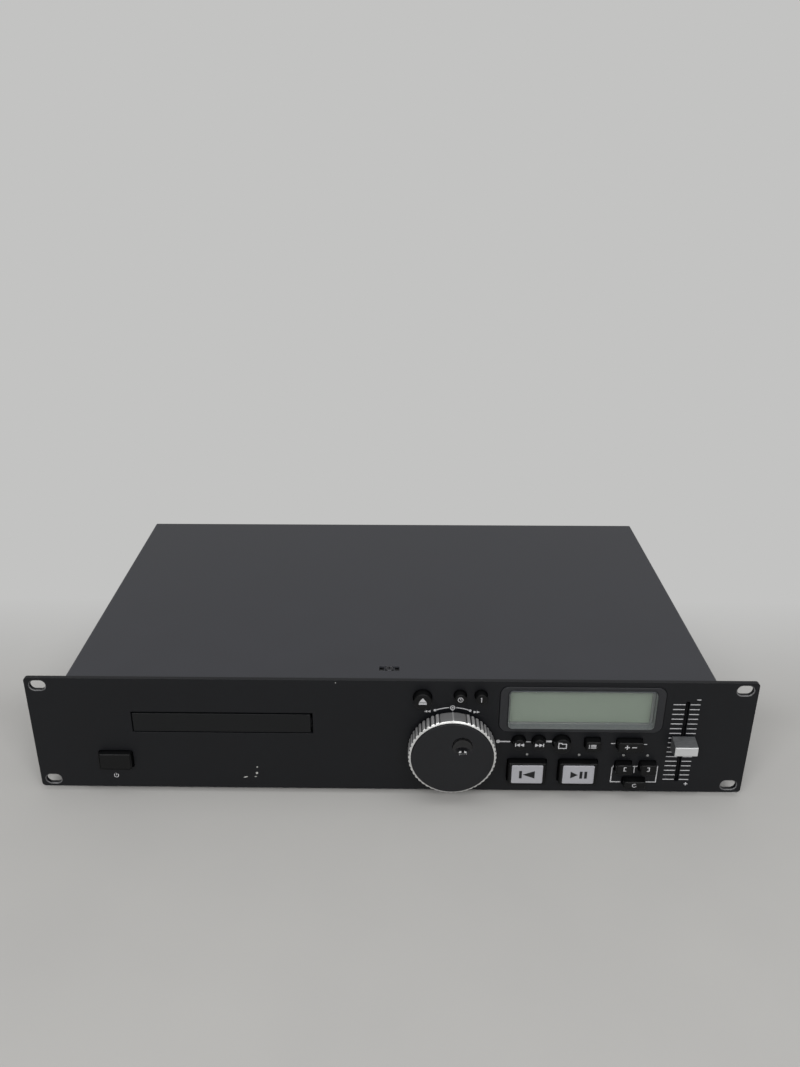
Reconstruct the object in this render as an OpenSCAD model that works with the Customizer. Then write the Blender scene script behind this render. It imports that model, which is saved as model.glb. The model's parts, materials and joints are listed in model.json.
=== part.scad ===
// Rack-mount disc player, two units high.
// Origin: centre of the four rack slots on the rear face of the front panel.
// X runs to the right as the user faces it, Y runs to the back and Z runs up.

/* [Front panel] */
// Width over the rack ears
panel_w = 482.6; // [472:0.1:500]
// Height of the panel
panel_h = 88.1; // [86:0.1:94]
// Thickness of the plate
panel_t = 3; // [2.5:0.1:4]
// Radius of the panel corners
panel_r = 2.5; // [0.5:0.1:5]
// Rack slot spacing across
slot_dx = 465.1; // [455:0.1:468]
// Rack slot spacing up the panel
slot_dz = 76.2; // [70:0.1:78]
// Rack slot length
slot_l = 10.5; // [8:0.1:12]
// Rack slot width
slot_w = 7.1; // [6:0.1:8]
// Width of the bevel round each rack slot
slot_bevel = 0.6; // [0.3:0.05:0.8]
// Studs that hold the panel, each as X and Z
stud_places = [[-206, 34], [-206, -34], [-30, 34], [-30, -34], [209.4, 34], [209.4, -34]]; // [-230:0.1:230]
// Stud thread radius
stud_r = 1.5; // [1.2:0.1:1.6]
// Nut radius over the corners
nut_r = 3.1; // [2.6:0.1:3.4]
// Nut height
nut_h = 2.4; // [1.8:0.1:3]

/* [Case] */
// Width of the top cover
case_w = 430; // [428:0.5:445]
// Depth of the top cover behind the panel
case_d = 258; // [255:0.5:300]
// Step from the panel's top edge down to the cover
cover_drop = 1; // [0.6:0.1:1.4]
// Height of the pan's underside above the panel's lower edge
pan_lift = 3; // [2:0.1:3.5]
// Sheet steel thickness
sheet_t = 1.2; // [1:0.1:1.4]
// Radius of the cover's outside bends
bend_r = 1.8; // [1.6:0.1:3]
// Slip between the cover and the pan inside it
case_slip = 0.2; // [0.1:0.05:0.5]
// Seam between the pan and the two walls that are spot-welded to its front
weld_gap = 0.05; // [0.02:0.01:0.1]
// Height of the pan's side flanges
pan_flange = 12; // [10:0.5:20]
// Depth of the cover's rear lip
lip_h = 12; // [9:0.5:20]
// Height of the feet
foot_h = 7; // [6:0.5:12]
// Radius of the feet
foot_r = 11; // [8:0.5:14]
// Distance of the feet from the middle of the case
foot_x = 180; // [150:1:195]
// Front and rear feet, behind the panel
foot_y = [46, 226]; // [44:1:230]
// Slot for the cover's front screw, across and along
bridge_slot = [13.3, 5.6]; // [5:0.1:15]
// Width of the lowered bridge that the front screw pulls on
bridge_w = 7.6; // [6:0.1:9]
// Width of the pan's tab under the bridge
tab_w = 28; // [20:0.5:40]
// Front screw's distance behind the panel
bridge_y = 13.5; // [10:0.1:16]

/* [Screws] */
// Screw shank radius
screw_r = 1.5; // [1.2:0.05:1.6]
// Screw shank length
screw_l = 6; // [5:0.5:7]
// Screw head radius
head_r = 2.8; // [2.4:0.1:3]
// Screw head height
head_h = 1.6; // [1.2:0.1:2]
// Clearance round a screw in a drilled hole
screw_gap = 0.15; // [0.05:0.05:0.2]

/* [Buttons] */
// Eject button place, X and Z
eject_at = [22.1, 31.1]; // [-240:0.1:240]
// Eject button diameter
eject_d = 11.6; // [10:0.1:12.4]
// Time button place
time_at = [46.8, 33.1]; // [-240:0.1:240]
// Single button place
single_at = [60.5, 33.2]; // [-240:0.1:240]
// Diameter of the time and single buttons
mode_d = 7.5; // [6:0.1:8.6]
// Track back button place
back_at = [87.2, -2.6]; // [-240:0.1:240]
// Track forward button place
forward_at = [100.6, -2.5]; // [-240:0.1:240]
// Diameter of the track buttons
track_d = 8.5; // [6:0.1:8.8]
// Folder button place
folder_at = [115.9, -3.4]; // [-240:0.1:240]
// Folder button diameter
folder_d = 11.2; // [9:0.1:12]
// Program button place
program_at = [136.6, -3.5]; // [-240:0.1:240]
// Program button width and height
program_size = [9.8, 7.6]; // [5:0.1:20]
// Pitch button place
pitch_at = [161.4, -3.9]; // [-240:0.1:240]
// Pitch button width and height
pitch_size = [16.6, 7.6]; // [5:0.1:20]
// Loop start button place
loop_in_at = [159, -22.4]; // [-240:0.1:240]
// Loop end button place
loop_out_at = [175.3, -22.4]; // [-240:0.1:240]
// Width and height of both loop buttons
loop_size = [10.6, 8]; // [5:0.1:12]
// Reloop button place
reloop_at = [167.2, -34.9]; // [-240:0.1:240]
// Reloop button width and height
reloop_size = [14.6, 5.5]; // [4:0.1:20]
// Cue button place
cue_at = [93.7, -26.7]; // [-240:0.1:240]
// Play button place
play_at = [128.3, -26.6]; // [-240:0.1:240]
// Width and height of the cue and play bodies
deck_size = [25.4, 17.6]; // [15:0.1:26]
// Width and height of the caps in them
deck_cap = [21.2, 14.8]; // [12:0.1:22]
// How far the cue and play buttons stand out
deck_proud = 5; // [3:0.1:7]
// How far the small buttons stand out
button_proud = 5.6; // [2:0.1:6]
// Gap round a small button in its hole
button_gap = 0.6; // [0.3:0.05:0.8]
// Gap round a large button in its hole
deck_gap = 0.8; // [0.4:0.05:0.9]
// Overlap of a button's flange behind the panel
flange_lap = 0.8; // [0.5:0.05:0.9]
// Flange thickness
flange_t = 1.2; // [0.8:0.1:1.4]
// Gap between a flange and the panel
flange_gap = 0.3; // [0.2:0.05:0.4]
// Bevel round a button's front edge
key_edge = 0.4; // [0.2:0.05:0.6]
// Corner radius of the square-cornered buttons
key_r = 1; // [0.6:0.1:1.5]
// Radius of the stem that presses the switch
stem_r = 1.6; // [1.2:0.1:2]
// Button travel
button_travel = 0.8; // [0.5:0.05:1]

/* [Power button] */
// Power button place
power_at = [-186.8, -20.6]; // [-220:0.1:-150]
// Power button width and height
power_size = [22, 12.5]; // [10:0.1:23]
// How far the power button stands out
power_proud = 4; // [3:0.1:6]
// Power button travel
power_travel = 3; // [2:0.1:4]
// Power switch body across, along and up
switch_size = [20, 22, 14]; // [10:0.5:24]
// Distance of the power switch behind the panel
switch_y = 14; // [12:0.5:20]
// Power button's stem across and up
stem_size = [6, 5]; // [3:0.1:8]

/* [Jog and shuttle] */
// Centre of the jog wheel
jog_at = [42.1, -7.6]; // [-240:0.1:240]
// Outside radius of the shuttle ring
ring_r = 29.3; // [27:0.1:30]
// Radius of the jog disc
disc_r = 27.3; // [22:0.1:27.4]
// Radial gap between the jog disc and the ring
jog_gap = 0.3; // [0.2:0.05:0.4]
// Gap between the ring and the panel
ring_gap = 2.5; // [1:0.1:4]
// How far the ring stands out of the panel
ring_proud = 13.1; // [11:0.1:16]
// Bevel at the ring's front edge
ring_bevel = 0.3; // [0.2:0.1:2.2]
// Number of ribs in a full turn of the grip
rib_count = 52; // [48:4:96]
// Depth of the ribs
rib_depth = 0.7; // [0.3:0.05:0.8]
// Half angle of the smooth stretch at the top
smooth_half = 19; // [10:1:30]
// Thickness of the jog disc
disc_t = 5; // [4.5:0.1:6]
// How far the jog disc stands out of the ring
disc_proud = 1; // [0:0.1:2]
// Radius of the finger dimple's mouth
dimple_r = 7; // [5:0.05:8]
// Depth of the finger dimple
dimple_depth = 3.4; // [1:0.1:4]
// Dimple centre from the jog centre
dimple_at = [6.3, 10.2]; // [-15:0.1:15]
// Radius of the shuttle sleeve through the panel
sleeve_r = 7; // [6:0.1:9]
// Radius of the jog shaft in the sleeve
jog_shaft_r = 4; // [3:0.1:5]
// Radius of the shaft's rear end in the encoder
jog_tail_r = 3; // [2:0.1:3.5]
// Radial running clearance
run_gap = 0.05; // [0.02:0.01:0.1]

/* [Pitch fader] */
// Fader slot centre
fader_at = [196.5, -2.9]; // [-240:0.1:240]
// Travel each way from the middle
fader_travel = 29; // [20:0.5:32]
// Width of the fader slot
fader_slot = 2.5; // [2:0.1:3.5]
// Fader cap width and its height at the foot and at the front
fader_cap_size = [15.2, 10.8, 6.9]; // [6:0.1:17]
// How far the fader cap stands out
fader_proud = 11; // [7:0.1:12]
// Gap between the fader cap and the panel
fader_lift = 0.6; // [0.3:0.05:1]
// Lever blade across and along the slot
lever_size = [1.2, 4.5]; // [0.8:0.1:6]
// Fader housing across and along
fader_body_size = [9, 73]; // [8:0.5:74]
// Carriage in the housing: across, along the travel and deep
carriage = [5.2, 7.2, 4]; // [3:0.1:8]
// Distance of the fader housing behind the panel
fader_top = 2; // [1.5:0.1:2.4]

/* [Display] */
// Display centre
display_at = [127.5, 22.6]; // [-240:0.1:240]
// Bezel width and height
bezel_size = [108.4, 35]; // [30:0.1:112]
// Bezel corner radius
bezel_r = 5.8; // [3:0.1:7]
// Window width and height
window_size = [97, 29]; // [20:0.1:100]
// Window corner radius
window_r = 3; // [1:0.1:4]
// How far the window stands out of the panel
window_proud = 2; // [0.5:0.1:3]
// How far the bezel stands out of the panel
bezel_proud = 0.5; // [0.2:0.05:1]
// Gap round the bezel in the panel
bezel_gap = 0.3; // [0.1:0.05:0.4]
// Width of the bezel's side ears
bezel_ear = 4; // [3:0.1:4.4]
// Display glass width, height and thickness
lcd_size = [93.6, 26.4, 5.3]; // [1.5:0.1:96]
// Indicator places beside the cue and play buttons and over the loop buttons
led_places = [[93.5, -13.9], [128.7, -13.9], [158.6, -13.9], [174.8, -13.9]]; // [-240:0.1:240]
// Indicator radius
led_r = 0.9; // [0.7:0.05:1.2]

/* [Control board] */
// Distance of the control board behind the panel
board_y = 9; // [8.5:0.1:12]
// Left, right, bottom and top edges of the control board
board_edges = [8, 204, -38.5, 38]; // [-40:0.5:210]
// Circuit board thickness
board_t = 1.6; // [1:0.1:2]
// Standoff places
post_places = [[12, -33], [70, -33], [14, 14], [148.4, -33], [186.5, -33], [186.5, -1]]; // [-40:0.1:210]
// Standoff radius over the corners
post_r = 2.9; // [2.6:0.1:3]
// Height of a switch over the board
tact_h = 4.3; // [3.5:0.1:5]
// Width of a switch
tact_w = 6; // [4:0.1:6.5]
// Radius of a switch's plunger
tact_r = 1.7; // [1.2:0.1:1.9]
// Width of the jog encoder
encoder_w = 16; // [12:0.5:20]

/* [Disc tray] */
// Tray centre line
tray_x = -112; // [-116:0.1:-108]
// Centre height of the tray opening
tray_z = 9.9; // [8:0.1:12]
// Tray opening width and height
mouth_size = [122, 16.4]; // [15:0.1:123]
// Gap round the tray door
door_gap = 0.8; // [0.4:0.05:1]
// Tray door thickness
door_t = 2.6; // [2:0.1:2.9]
// Tray width
tray_w = 119.6; // [118:0.1:120]
// Tray length
tray_l = 188; // [180:0.5:195]
// Tray thickness, from its floor's underside to its rim
tray_h = 7; // [6.5:0.1:7.5]
// Tray floor thickness
tray_floor = 2; // [1.5:0.1:2.2]
// Radius of the disc well
well_r = 60.5; // [60.2:0.1:61]
// Radius of the inner well for small discs
small_well_r = 40.5; // [40.2:0.1:41]
// Step from the disc well down to the inner well
small_step = 0.8; // [0.5:0.1:1]
// Disc centre behind the panel
disc_y = 78; // [74:0.5:82]
// Slot in the tray for the turntable
tray_slot = 36; // [34:0.5:40]
// Tray travel
tray_travel = 145; // [120:1:148]

/* [Loader] */
// Running gap between sliding pieces
slide_gap = 0.3; // [0.2:0.05:0.4]
// Loader side wall thickness
wall_t = 3; // [2:0.1:4]
// Loader length
loader_l = 194; // [188:0.5:200]
// Pinion teeth
tray_teeth = 20; // [18:1:22]
// Pinion module
tray_module = 1; // [0.9:0.05:1.1]
// Pinion centre behind the panel
tray_gear_y = 22; // [18:0.5:26]
// Play between gear teeth
gear_play = 0.2; // [0.15:0.05:0.3]
// Groove radius of the pinion's pulley
pulley_r = 11; // [9:0.1:11.5]
// Groove radius of the motor pulley
motor_pulley_r = 3; // [2.5:0.1:4]
// Belt thickness
belt_t = 1.2; // [0.8:0.1:1.4]
// Motor pulley's offset from the tray centre line
loading_motor_dx = 2; // [-6:0.5:10]
// Loading motor radius and length
loading_motor_size = [10, 20]; // [8:0.5:24]
// Clamper radius
clamper_r = 15; // [13:0.5:16]
// Radius of the clamper's hole in its bridge
clamp_bore = 12; // [11:0.1:12.5]
// Turntable radius
turntable_r = 15; // [12:0.5:16]
// Radius of the turntable's centring cone
cone_r = 7.4; // [7:0.05:7.45]
// Sled travel
sled_travel = 35; // [30:0.5:36]
// Sled pinion teeth
sled_teeth = 16; // [14:1:18]
// Sled pinion module
sled_module = 0.6; // [0.5:0.05:0.7]
// Spindle motor radius
spindle_motor_r = 11.5; // [10:0.1:12]
// Sled motor radius and length
sled_motor_size = [7.5, 12]; // [6:0.1:14]
// Radius of all three motor shafts
motor_shaft_r = 1; // [0.8:0.05:1.2]
// Guide rod radius
rod_r = 1.5; // [1:0.1:2]
// Traverse hinge pin radius
hinge_r = 2; // [1.5:0.1:2.5]

/* [Rear and main board] */
// Main board left, right, front and rear edges
main_edges = [10, 190, 70, 190]; // [0:1:200]
// Main board height over the pan
main_lift = 7; // [5:0.5:10]
// Radius of the posts under the main board
main_post_r = 3.2; // [2.6:0.1:4]
// Transformer place, X and distance in front of the rear wall
transformer_at = [130, 34]; // [30:1:133]
// Transformer core across, along and up
core_size = [50, 20, 42]; // [15:1:60]
// Mains inlet place on the rear wall
inlet_at = [185, -12]; // [-200:0.5:190]
// Mains inlet socket width, height and depth
inlet_mouth = [24, 16.4, 17]; // [14:0.1:26]
// Mains inlet flange width, height and thickness
inlet_flange = [50, 24, 2.5]; // [2:0.1:56]
// Distance of the inlet's screws from its middle
inlet_screw_dx = 20; // [18:0.1:20.5]
// Audio jack places on the rear wall
jack_places = [[-150, -12], [-132, -12], [-96, -12]]; // [-200:0.5:190]
// Audio jack shell radius
jack_r = 4.15; // [4:0.05:4.3]
// Audio jack shell length outside the wall
jack_l = 9; // [8:0.1:10]
// Radius of an audio jack's centre contact
jack_bore = 1.6; // [1.5:0.05:1.8]
// Remote start jack place on the rear wall
remote_at = [-68, -12]; // [-200:0.5:190]
// Remote start jack bore radius
remote_r = 1.8; // [1.75:0.05:2]

/* [Hidden] */
$fn = 48;
over = 1;
snug = 0.02;
pressure_angle = 20;
front = -panel_t;
disc_face = front - ring_proud - disc_proud;
bezel_back = flange_t + flange_gap;
ear_w = window_size[0] + 5;
lcd_back = board_y - 2;
pan_z = pan_lift - panel_h / 2;
floor_z = pan_z + sheet_t;
cover_z = panel_h / 2 - cover_drop;
roof_z = cover_z - sheet_t;
pan_w = case_w - 2 * sheet_t - 2 * case_slip;
rear_y = case_d - sheet_t - case_slip;
front_wall_x = pan_w / 2 - sheet_t - weld_gap;
inner_rear = rear_y - sheet_t;
flange_y = flange_gap;
stem_y = board_y - tact_h - button_travel - 0.2;
tap_r = screw_r + 0.05;
drill_r = screw_r + screw_gap;
bridge_top = roof_z;
tab_z = bridge_top - sheet_t;
side_screw_y = [40, case_d - 38];
side_screw_z = pan_z + pan_flange / 2;
lip_screw_x = [-case_w / 2 + 35, 0, case_w / 2 - 35];
lip_screw_z = cover_z - lip_h / 2;

// Loader heights, from the tray down
rail_z = tray_z - 4.4;
well_z = rail_z + tray_floor;
tray_top = rail_z + tray_h;
rack_z = tray_z - mouth_size[1] / 2 + 0.6;
deck_floor = rail_z - 9.5;
deck_floor_t = 2;
wall_top = tray_top + 4;
bridge_t = 1.5;
tray_front = front + door_t;
wall_in = tray_w / 2 + 0.6;
wall_out = wall_in + wall_t;
loader_ends = [tray_x - wall_out - 0.5, tray_x + wall_out + 0.5];
rack_face = tray_w / 2 - 6.8;
tray_pitch_r = tray_module * tray_teeth / 2;
tray_gear_x = tray_x - rack_face + tray_pitch_r;
gear_z = [rack_z, rail_z - slide_gap - 0.2];
pulley_z = [deck_floor + deck_floor_t + 0.3, rack_z - slide_gap];
motor_x = tray_x + loading_motor_dx;
gear_post_r = 2;
leg_places = [for (s = [-1, 1], y = [14, loader_l - 10]) [tray_x + s * (wall_in - 1.4), y]];
leg_r = 4.4;

// Traverse deck, hinged at its rear end and level as the disc plays
hinge_y = loader_l - 8;
deck_t = 2;
deck_half = 42;
rod_dx = 26;
rod_block = rod_r + 1;
rod_z = rail_z - rod_block - 0.6;
deck_z = rod_z - 4 - deck_t;
deck_top = deck_z + deck_t;
hinge_z = deck_z + deck_t / 2;
boss = hinge_r + 2;
deck_front = disc_y - 24;
turntable_z = rail_z + 4.9;
turntable_t = 2;
clamp_z = turntable_z + 1.4;
cone_h = 2.3;
rod_ends = [disc_y + 12, hinge_y - 14];
lens_y = disc_y + 26;
sled_half = 11.5;
lens_h = 6.4;
sled_pitch_r = sled_module * sled_teeth / 2;
sled_rack_x = tray_x + rod_dx + rod_r + 4.5;
sled_gear_at = [sled_rack_x + sled_pitch_r, lens_y + 26];
sled_rack_z = [rod_z - 2, rod_z + 1];

// Main board standoffs
main_z = floor_z + main_lift;
post_inset = 5;
main_posts = [
    for (x = [main_edges[0] + post_inset, main_edges[1] - post_inset])
        for (y = [main_edges[2] + post_inset, main_edges[3] - post_inset])
            [x, y]
];
transformer_y = inner_rear - transformer_at[1];
tabs_x = core_size[0] / 2 + 6;

rect_keys = [
    [program_at, program_size],
    [pitch_at, pitch_size],
    [loop_in_at, loop_size],
    [loop_out_at, loop_size],
    [reloop_at, reloop_size]
];
round_keys = [
    [eject_at, eject_d],
    [time_at, mode_d],
    [single_at, mode_d],
    [back_at, track_d],
    [forward_at, track_d],
    [folder_at, folder_d]
];
tact_places = concat([for (k = rect_keys) k[0]], [for (k = round_keys) k[0]], [cue_at, play_at]);

// Rounded rectangle about the origin
module rrect(w, h, r) {
    square([w - 2 * r, h], center = true);
    square([w, h - 2 * r], center = true);
    for (sx = [-1, 1], sy = [-1, 1])
        translate([sx * (w / 2 - r), sy * (h / 2 - r)]) circle(r);
}

// Slot with round ends along X about the origin
module slot_shape(l, w) {
    square([l - w, w], center = true);
    for (s = [-1, 1]) translate([s * (l - w) / 2, 0]) circle(w / 2);
}

// Outline drawn in X and Z, extruded from y0 to y1
module along_y(y0, y1) {
    translate([0, y1, 0]) rotate([90, 0, 0]) linear_extrude(y1 - y0) children();
}

// Outline drawn in Y and Z, extruded from x0 to x1
module along_x(x0, x1) {
    translate([x0, 0, 0]) rotate([90, 0, 90]) linear_extrude(x1 - x0) children();
}

// Round bar along Y from y0 to y1
module rod_y(r, y0, y1) {
    translate([0, y1, 0]) rotate([90, 0, 0]) cylinder(r = r, h = y1 - y0);
}

// Block between two corners
module block(low, high) {
    translate(low) cube(high - low);
}

// A place on the panel, from its X and Z
module at(p) {
    translate([p[0], 0, p[1]]) children();
}

// Involute gear outline, with one tooth on -X
function roll(a) = tan(a) * 180 / PI - a;
function flank(r, base, half) = half + roll(pressure_angle) - (r > base ? roll(acos(base / r)) : 0);
function polar(r, a) = [r * cos(a), r * sin(a)];
function gear_outline(m, n, play) =
    let (pitch = m * n / 2, base = pitch * cos(pressure_angle))
    let (root = pitch - 1.25 * m, tip = pitch + 0.95 * m)
    let (half = 90 / n - play / 2 / pitch * 180 / PI)
    let (radii = [root, base, base + (tip - base) * 0.33, base + (tip - base) * 0.67, tip])
    [for (i = [0 : n - 1], side = [-1, 1], k = [0 : 4])
        let (r = radii[side < 0 ? k : 4 - k])
        polar(r, 180 + 360 / n * i + side * flank(r, base, half))];

// Rack outline with its pitch line on X = 0, teeth towards +X and a gap on Y = 0
function rack_outline(m, y0, y1, back, play) =
    let (p = PI * m, up = 0.75 * m, down = 1.1 * m)
    let (first = ceil(y0 / p + 0.5), last = floor(y1 / p - 0.5) - 1)
    let (half = p / 4 - play / 2, lean = tan(pressure_angle))
    concat([[-back, y1], [-back, y0], [-down, y0]],
        [for (i = [first : last], k = [0 : 3])
            let (c = (i + 0.5) * p, x = k == 0 || k == 3 ? -down : up, s = k < 2 ? -1 : 1)
            [x, c + s * (half - x * lean)]],
        [[-down, y1]]);

// Pan-head screw with its head on Z = 0 and its shank below
module screw() {
    cylinder(r = head_r, h = head_h);
    translate([0, 0, -screw_l]) cylinder(r = screw_r, h = screw_l);
}

// Places of the screws, with their heads along +Z of each place
module cover_front_place() {
    translate([0, bridge_y, bridge_top]) children();
}
module cover_side_places() {
    for (s = [-1, 1], y = side_screw_y)
        translate([s * case_w / 2, y, side_screw_z]) rotate([0, s * 90, 0]) children();
}
module cover_rear_places() {
    for (x = lip_screw_x)
        translate([x, case_d, lip_screw_z]) rotate([-90, 0, 0]) children();
}
module leg_screw_places() {
    for (p = leg_places)
        translate([p[0], p[1], pan_z]) rotate([180, 0, 0]) children();
}
module foot_screw_places() {
    for (s = [-1, 1], y = foot_y)
        translate([s * foot_x, y, pan_z - 2]) rotate([180, 0, 0]) children();
}
module board_screw_places() {
    for (p = post_places)
        translate([p[0], board_y + board_t, p[1]]) rotate([-90, 0, 0]) children();
}
module main_screw_places() {
    for (p = main_posts)
        translate([p[0], p[1], main_z + board_t]) children();
}
module transformer_screw_places() {
    for (s = [-1, 1])
        translate([transformer_at[0] + s * tabs_x, transformer_y, floor_z + 2]) children();
}

// Hole for a screw, a little past both ends of its shank
module screw_hole(r) {
    translate([0, 0, -screw_l - over]) cylinder(r = r, h = screw_l + 2 * over);
}

// Bevel at the front of a rack slot: two cones and the straight run between them
module rack_slot_bevel() {
    run = (slot_l - slot_w) / 2;
    near = slot_w / 2 + slot_bevel + over;
    y0 = front - over;
    y1 = front + slot_bevel;
    for (s = [-1, 1])
        translate([s * run, y0, 0]) rotate([-90, 0, 0]) cylinder(r1 = near, r2 = slot_w / 2, h = y1 - y0);
    along_x(-run, run)
        polygon([[y0, -near], [y0, near], [y1, slot_w / 2], [y1, -slot_w / 2]]);
}

module front_panel() {
    color("#232427") {
        difference() {
            along_y(front, 0) rrect(panel_w, panel_h, panel_r);
            for (sx = [-1, 1], sz = [-1, 1])
                translate([sx * slot_dx / 2, 0, sz * slot_dz / 2]) {
                    along_y(front - over, over) slot_shape(slot_l, slot_w);
                    rack_slot_bevel();
                }
            for (k = round_keys) at(k[0]) rod_y(k[1] / 2 + button_gap, front - over, over);
            for (k = rect_keys) at(k[0]) key_hole(k[1], button_gap);
            for (p = [cue_at, play_at]) at(p) key_hole(deck_size, deck_gap);
            at(power_at) key_hole(power_size, deck_gap);
            at(jog_at) rod_y(sleeve_r + run_gap, front - over, over);
            at(fader_at) along_y(front - over, over)
                rotate(90) slot_shape(2 * fader_travel + lever_size[1] + fader_slot, fader_slot);
            at(display_at) along_y(front - over, over)
                rrect(bezel_size[0] + 2 * bezel_gap, bezel_size[1] + 2 * bezel_gap, bezel_r + bezel_gap);
            for (p = led_places) at(p) rod_y(led_r + 0.1, front - over, over);
            translate([tray_x, 0, tray_z]) along_y(front - over, over) square(mouth_size, center = true);
        }
        for (p = stud_places) at(p) rod_y(stud_r, 0, sheet_t + 4);
    }
}

// Hole in the panel for a square-cornered button
module key_hole(size, gap) {
    along_y(front - over, over) rrect(size[0] + 2 * gap, size[1] + 2 * gap, key_r + gap);
}

module chassis_pan() {
    color("#9c9d9f") difference() {
        union() {
            block([-pan_w / 2, 0, pan_z], [pan_w / 2, rear_y, floor_z]);
            // Folded lip under the loader, and a welded wall at each side of it
            block([loader_ends[0], 0, pan_z], [loader_ends[1], sheet_t, tray_z - mouth_size[1] / 2 - 1]);
            block([-front_wall_x, 0, floor_z + weld_gap],
                [loader_ends[0] - weld_gap, sheet_t, roof_z - case_slip]);
            block([loader_ends[1] + weld_gap, 0, floor_z + weld_gap],
                [front_wall_x, sheet_t, roof_z - case_slip]);
            block([-pan_w / 2, inner_rear, pan_z], [pan_w / 2, rear_y, roof_z - case_slip]);
            for (s = [-1, 1])
                translate([s * (pan_w - sheet_t) / 2, rear_y / 2, pan_z + pan_flange / 2])
                    cube([sheet_t, rear_y, pan_flange], center = true);
            block([-tab_w / 2, 0, tab_z - sheet_t], [tab_w / 2, bridge_y + 8, tab_z]);
            for (p = main_posts)
                translate([p[0], p[1], floor_z]) cylinder(r = main_post_r, h = main_lift);
        }
        // The front walls are open above the tab, for the display, and behind every control
        block([-tab_w / 2, -over, tab_z], [tab_w / 2, sheet_t + over, roof_z + over]);
        block([display_at[0] - bezel_size[0] / 2 - bezel_ear - 1, -over, display_at[1]],
            [display_at[0] + bezel_size[0] / 2 + bezel_ear + 1, sheet_t + over, roof_z + over]);
        block([board_edges[0] - 2, -over, board_edges[2] - 0.8],
            [board_edges[1] + 1, sheet_t + over, board_edges[3] + 0.6]);
        at(power_at) along_y(-over, sheet_t + over)
            square([power_size[0] + 10, power_size[1] + 8], center = true);
        for (p = stud_places) at(p) rod_y(stud_r + screw_gap, -over, sheet_t + over);
        // Openings in the rear wall
        at(inlet_at) along_y(inner_rear - over, rear_y + over)
            square([inlet_mouth[0] + 4.4, inlet_mouth[1] + 4.4], center = true);
        for (p = jack_places) at(p) rod_y(jack_r + 1.3, inner_rear - over, rear_y + over);
        at(remote_at) rod_y(remote_r + 1.8, inner_rear - over, rear_y + over);
        leg_screw_places() screw_hole(drill_r);
        // Threads for the screws of the cover, the feet and the rear pieces
        cover_front_place() screw_hole(tap_r);
        cover_side_places() screw_hole(tap_r);
        cover_rear_places() screw_hole(tap_r);
        foot_screw_places() screw_hole(tap_r);
        main_screw_places() screw_hole(tap_r);
        transformer_screw_places() screw_hole(tap_r);
        inlet_screw_places() screw_hole(tap_r);
    }
}

module top_cover() {
    half = case_w / 2;
    color("#48494c") difference() {
        union() {
            difference() {
                translate([0, 0, (cover_z + pan_z) / 2]) along_y(0, case_d)
                    rrect(case_w, cover_z - pan_z, bend_r);
                block([sheet_t - half, -over, pan_z - over], [half - sheet_t, case_d - sheet_t, roof_z]);
                block([-half - over, -over, pan_z - over], [half + over, case_d + over, pan_z + bend_r]);
                block([sheet_t - half, case_d - 2 * sheet_t, pan_z - over],
                    [half - sheet_t, case_d + over, cover_z - lip_h]);
                translate([0, bridge_y, cover_z])
                    cube([bridge_slot[0], bridge_slot[1], 4 * sheet_t], center = true);
            }
            translate([0, bridge_y, bridge_top - sheet_t / 2])
                cube([bridge_w, bridge_slot[1] + 3, sheet_t], center = true);
        }
        cover_front_place() screw_hole(drill_r);
        cover_side_places() screw_hole(drill_r);
        cover_rear_places() screw_hole(drill_r);
    }
}

module feet() {
    color("#1d1d1f")
        for (s = [-1, 1], y = foot_y)
            translate([s * foot_x, y, pan_z - foot_h]) difference() {
                union() {
                    cylinder(r1 = foot_r - 1, r2 = foot_r, h = 1);
                    translate([0, 0, 1]) cylinder(r = foot_r, h = foot_h - 1);
                }
                translate([0, 0, -1]) cylinder(r = head_r + 1.2, h = foot_h - 1);
                cylinder(r = drill_r, h = foot_h + 1);
            }
}

module case_screws() {
    color("#b4b4b6") {
        cover_front_place() screw();
        cover_side_places() screw();
        cover_rear_places() screw();
        leg_screw_places() screw();
        foot_screw_places() screw();
        board_screw_places() screw();
        main_screw_places() screw();
        transformer_screw_places() screw();
        inlet_screw_places() screw();
    }
}

module panel_nuts() {
    color("#b4b4b6")
        for (p = stud_places) at(p) difference() {
            translate([0, sheet_t + nut_h, 0]) rotate([90, 0, 0]) cylinder(r = nut_r, h = nut_h, $fn = 6);
            rod_y(stud_r + snug, 0, sheet_t + nut_h + over);
        }
}

module display_bezel() {
    color("#1b1c1e") difference() {
        union() {
            at(display_at) along_y(front - bezel_proud, bezel_back)
                rrect(bezel_size[0], bezel_size[1], bezel_r);
            at(display_at) along_y(0, bezel_back)
                rrect(bezel_size[0] + 2 * bezel_ear, bezel_size[1] - 8, 1);
        }
        at(display_at) along_y(front - 2 * bezel_proud, bezel_back + over)
            rrect(window_size[0] + bezel_gap, window_size[1] + bezel_gap, window_r + bezel_gap / 2);
        at(display_at) along_y(0, bezel_back + over)
            square([ear_w + bezel_gap, window_size[1] - 2 * window_r], center = true);
    }
}

module display_window() {
    color("#c8d2cc", 0.4) {
        at(display_at) along_y(front - window_proud, bezel_back)
            rrect(window_size[0], window_size[1], window_r);
        at(display_at) along_y(0.1, bezel_back)
            square([ear_w, window_size[1] - 2 * window_r - bezel_gap], center = true);
    }
}

module lcd_holder() {
    color("#b9bdb8") difference() {
        at(display_at) along_y(bezel_back, board_y) rrect(lcd_size[0] + 8, lcd_size[1] + 5, 1);
        at(display_at) along_y(0, lcd_back) square([lcd_size[0] + 0.4, lcd_size[1] + 0.4], center = true);
    }
}

module lcd_glass() {
    color("#7d877c")
        at(display_at) along_y(lcd_back - lcd_size[2], lcd_back)
            square([lcd_size[0], lcd_size[1]], center = true);
}

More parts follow.
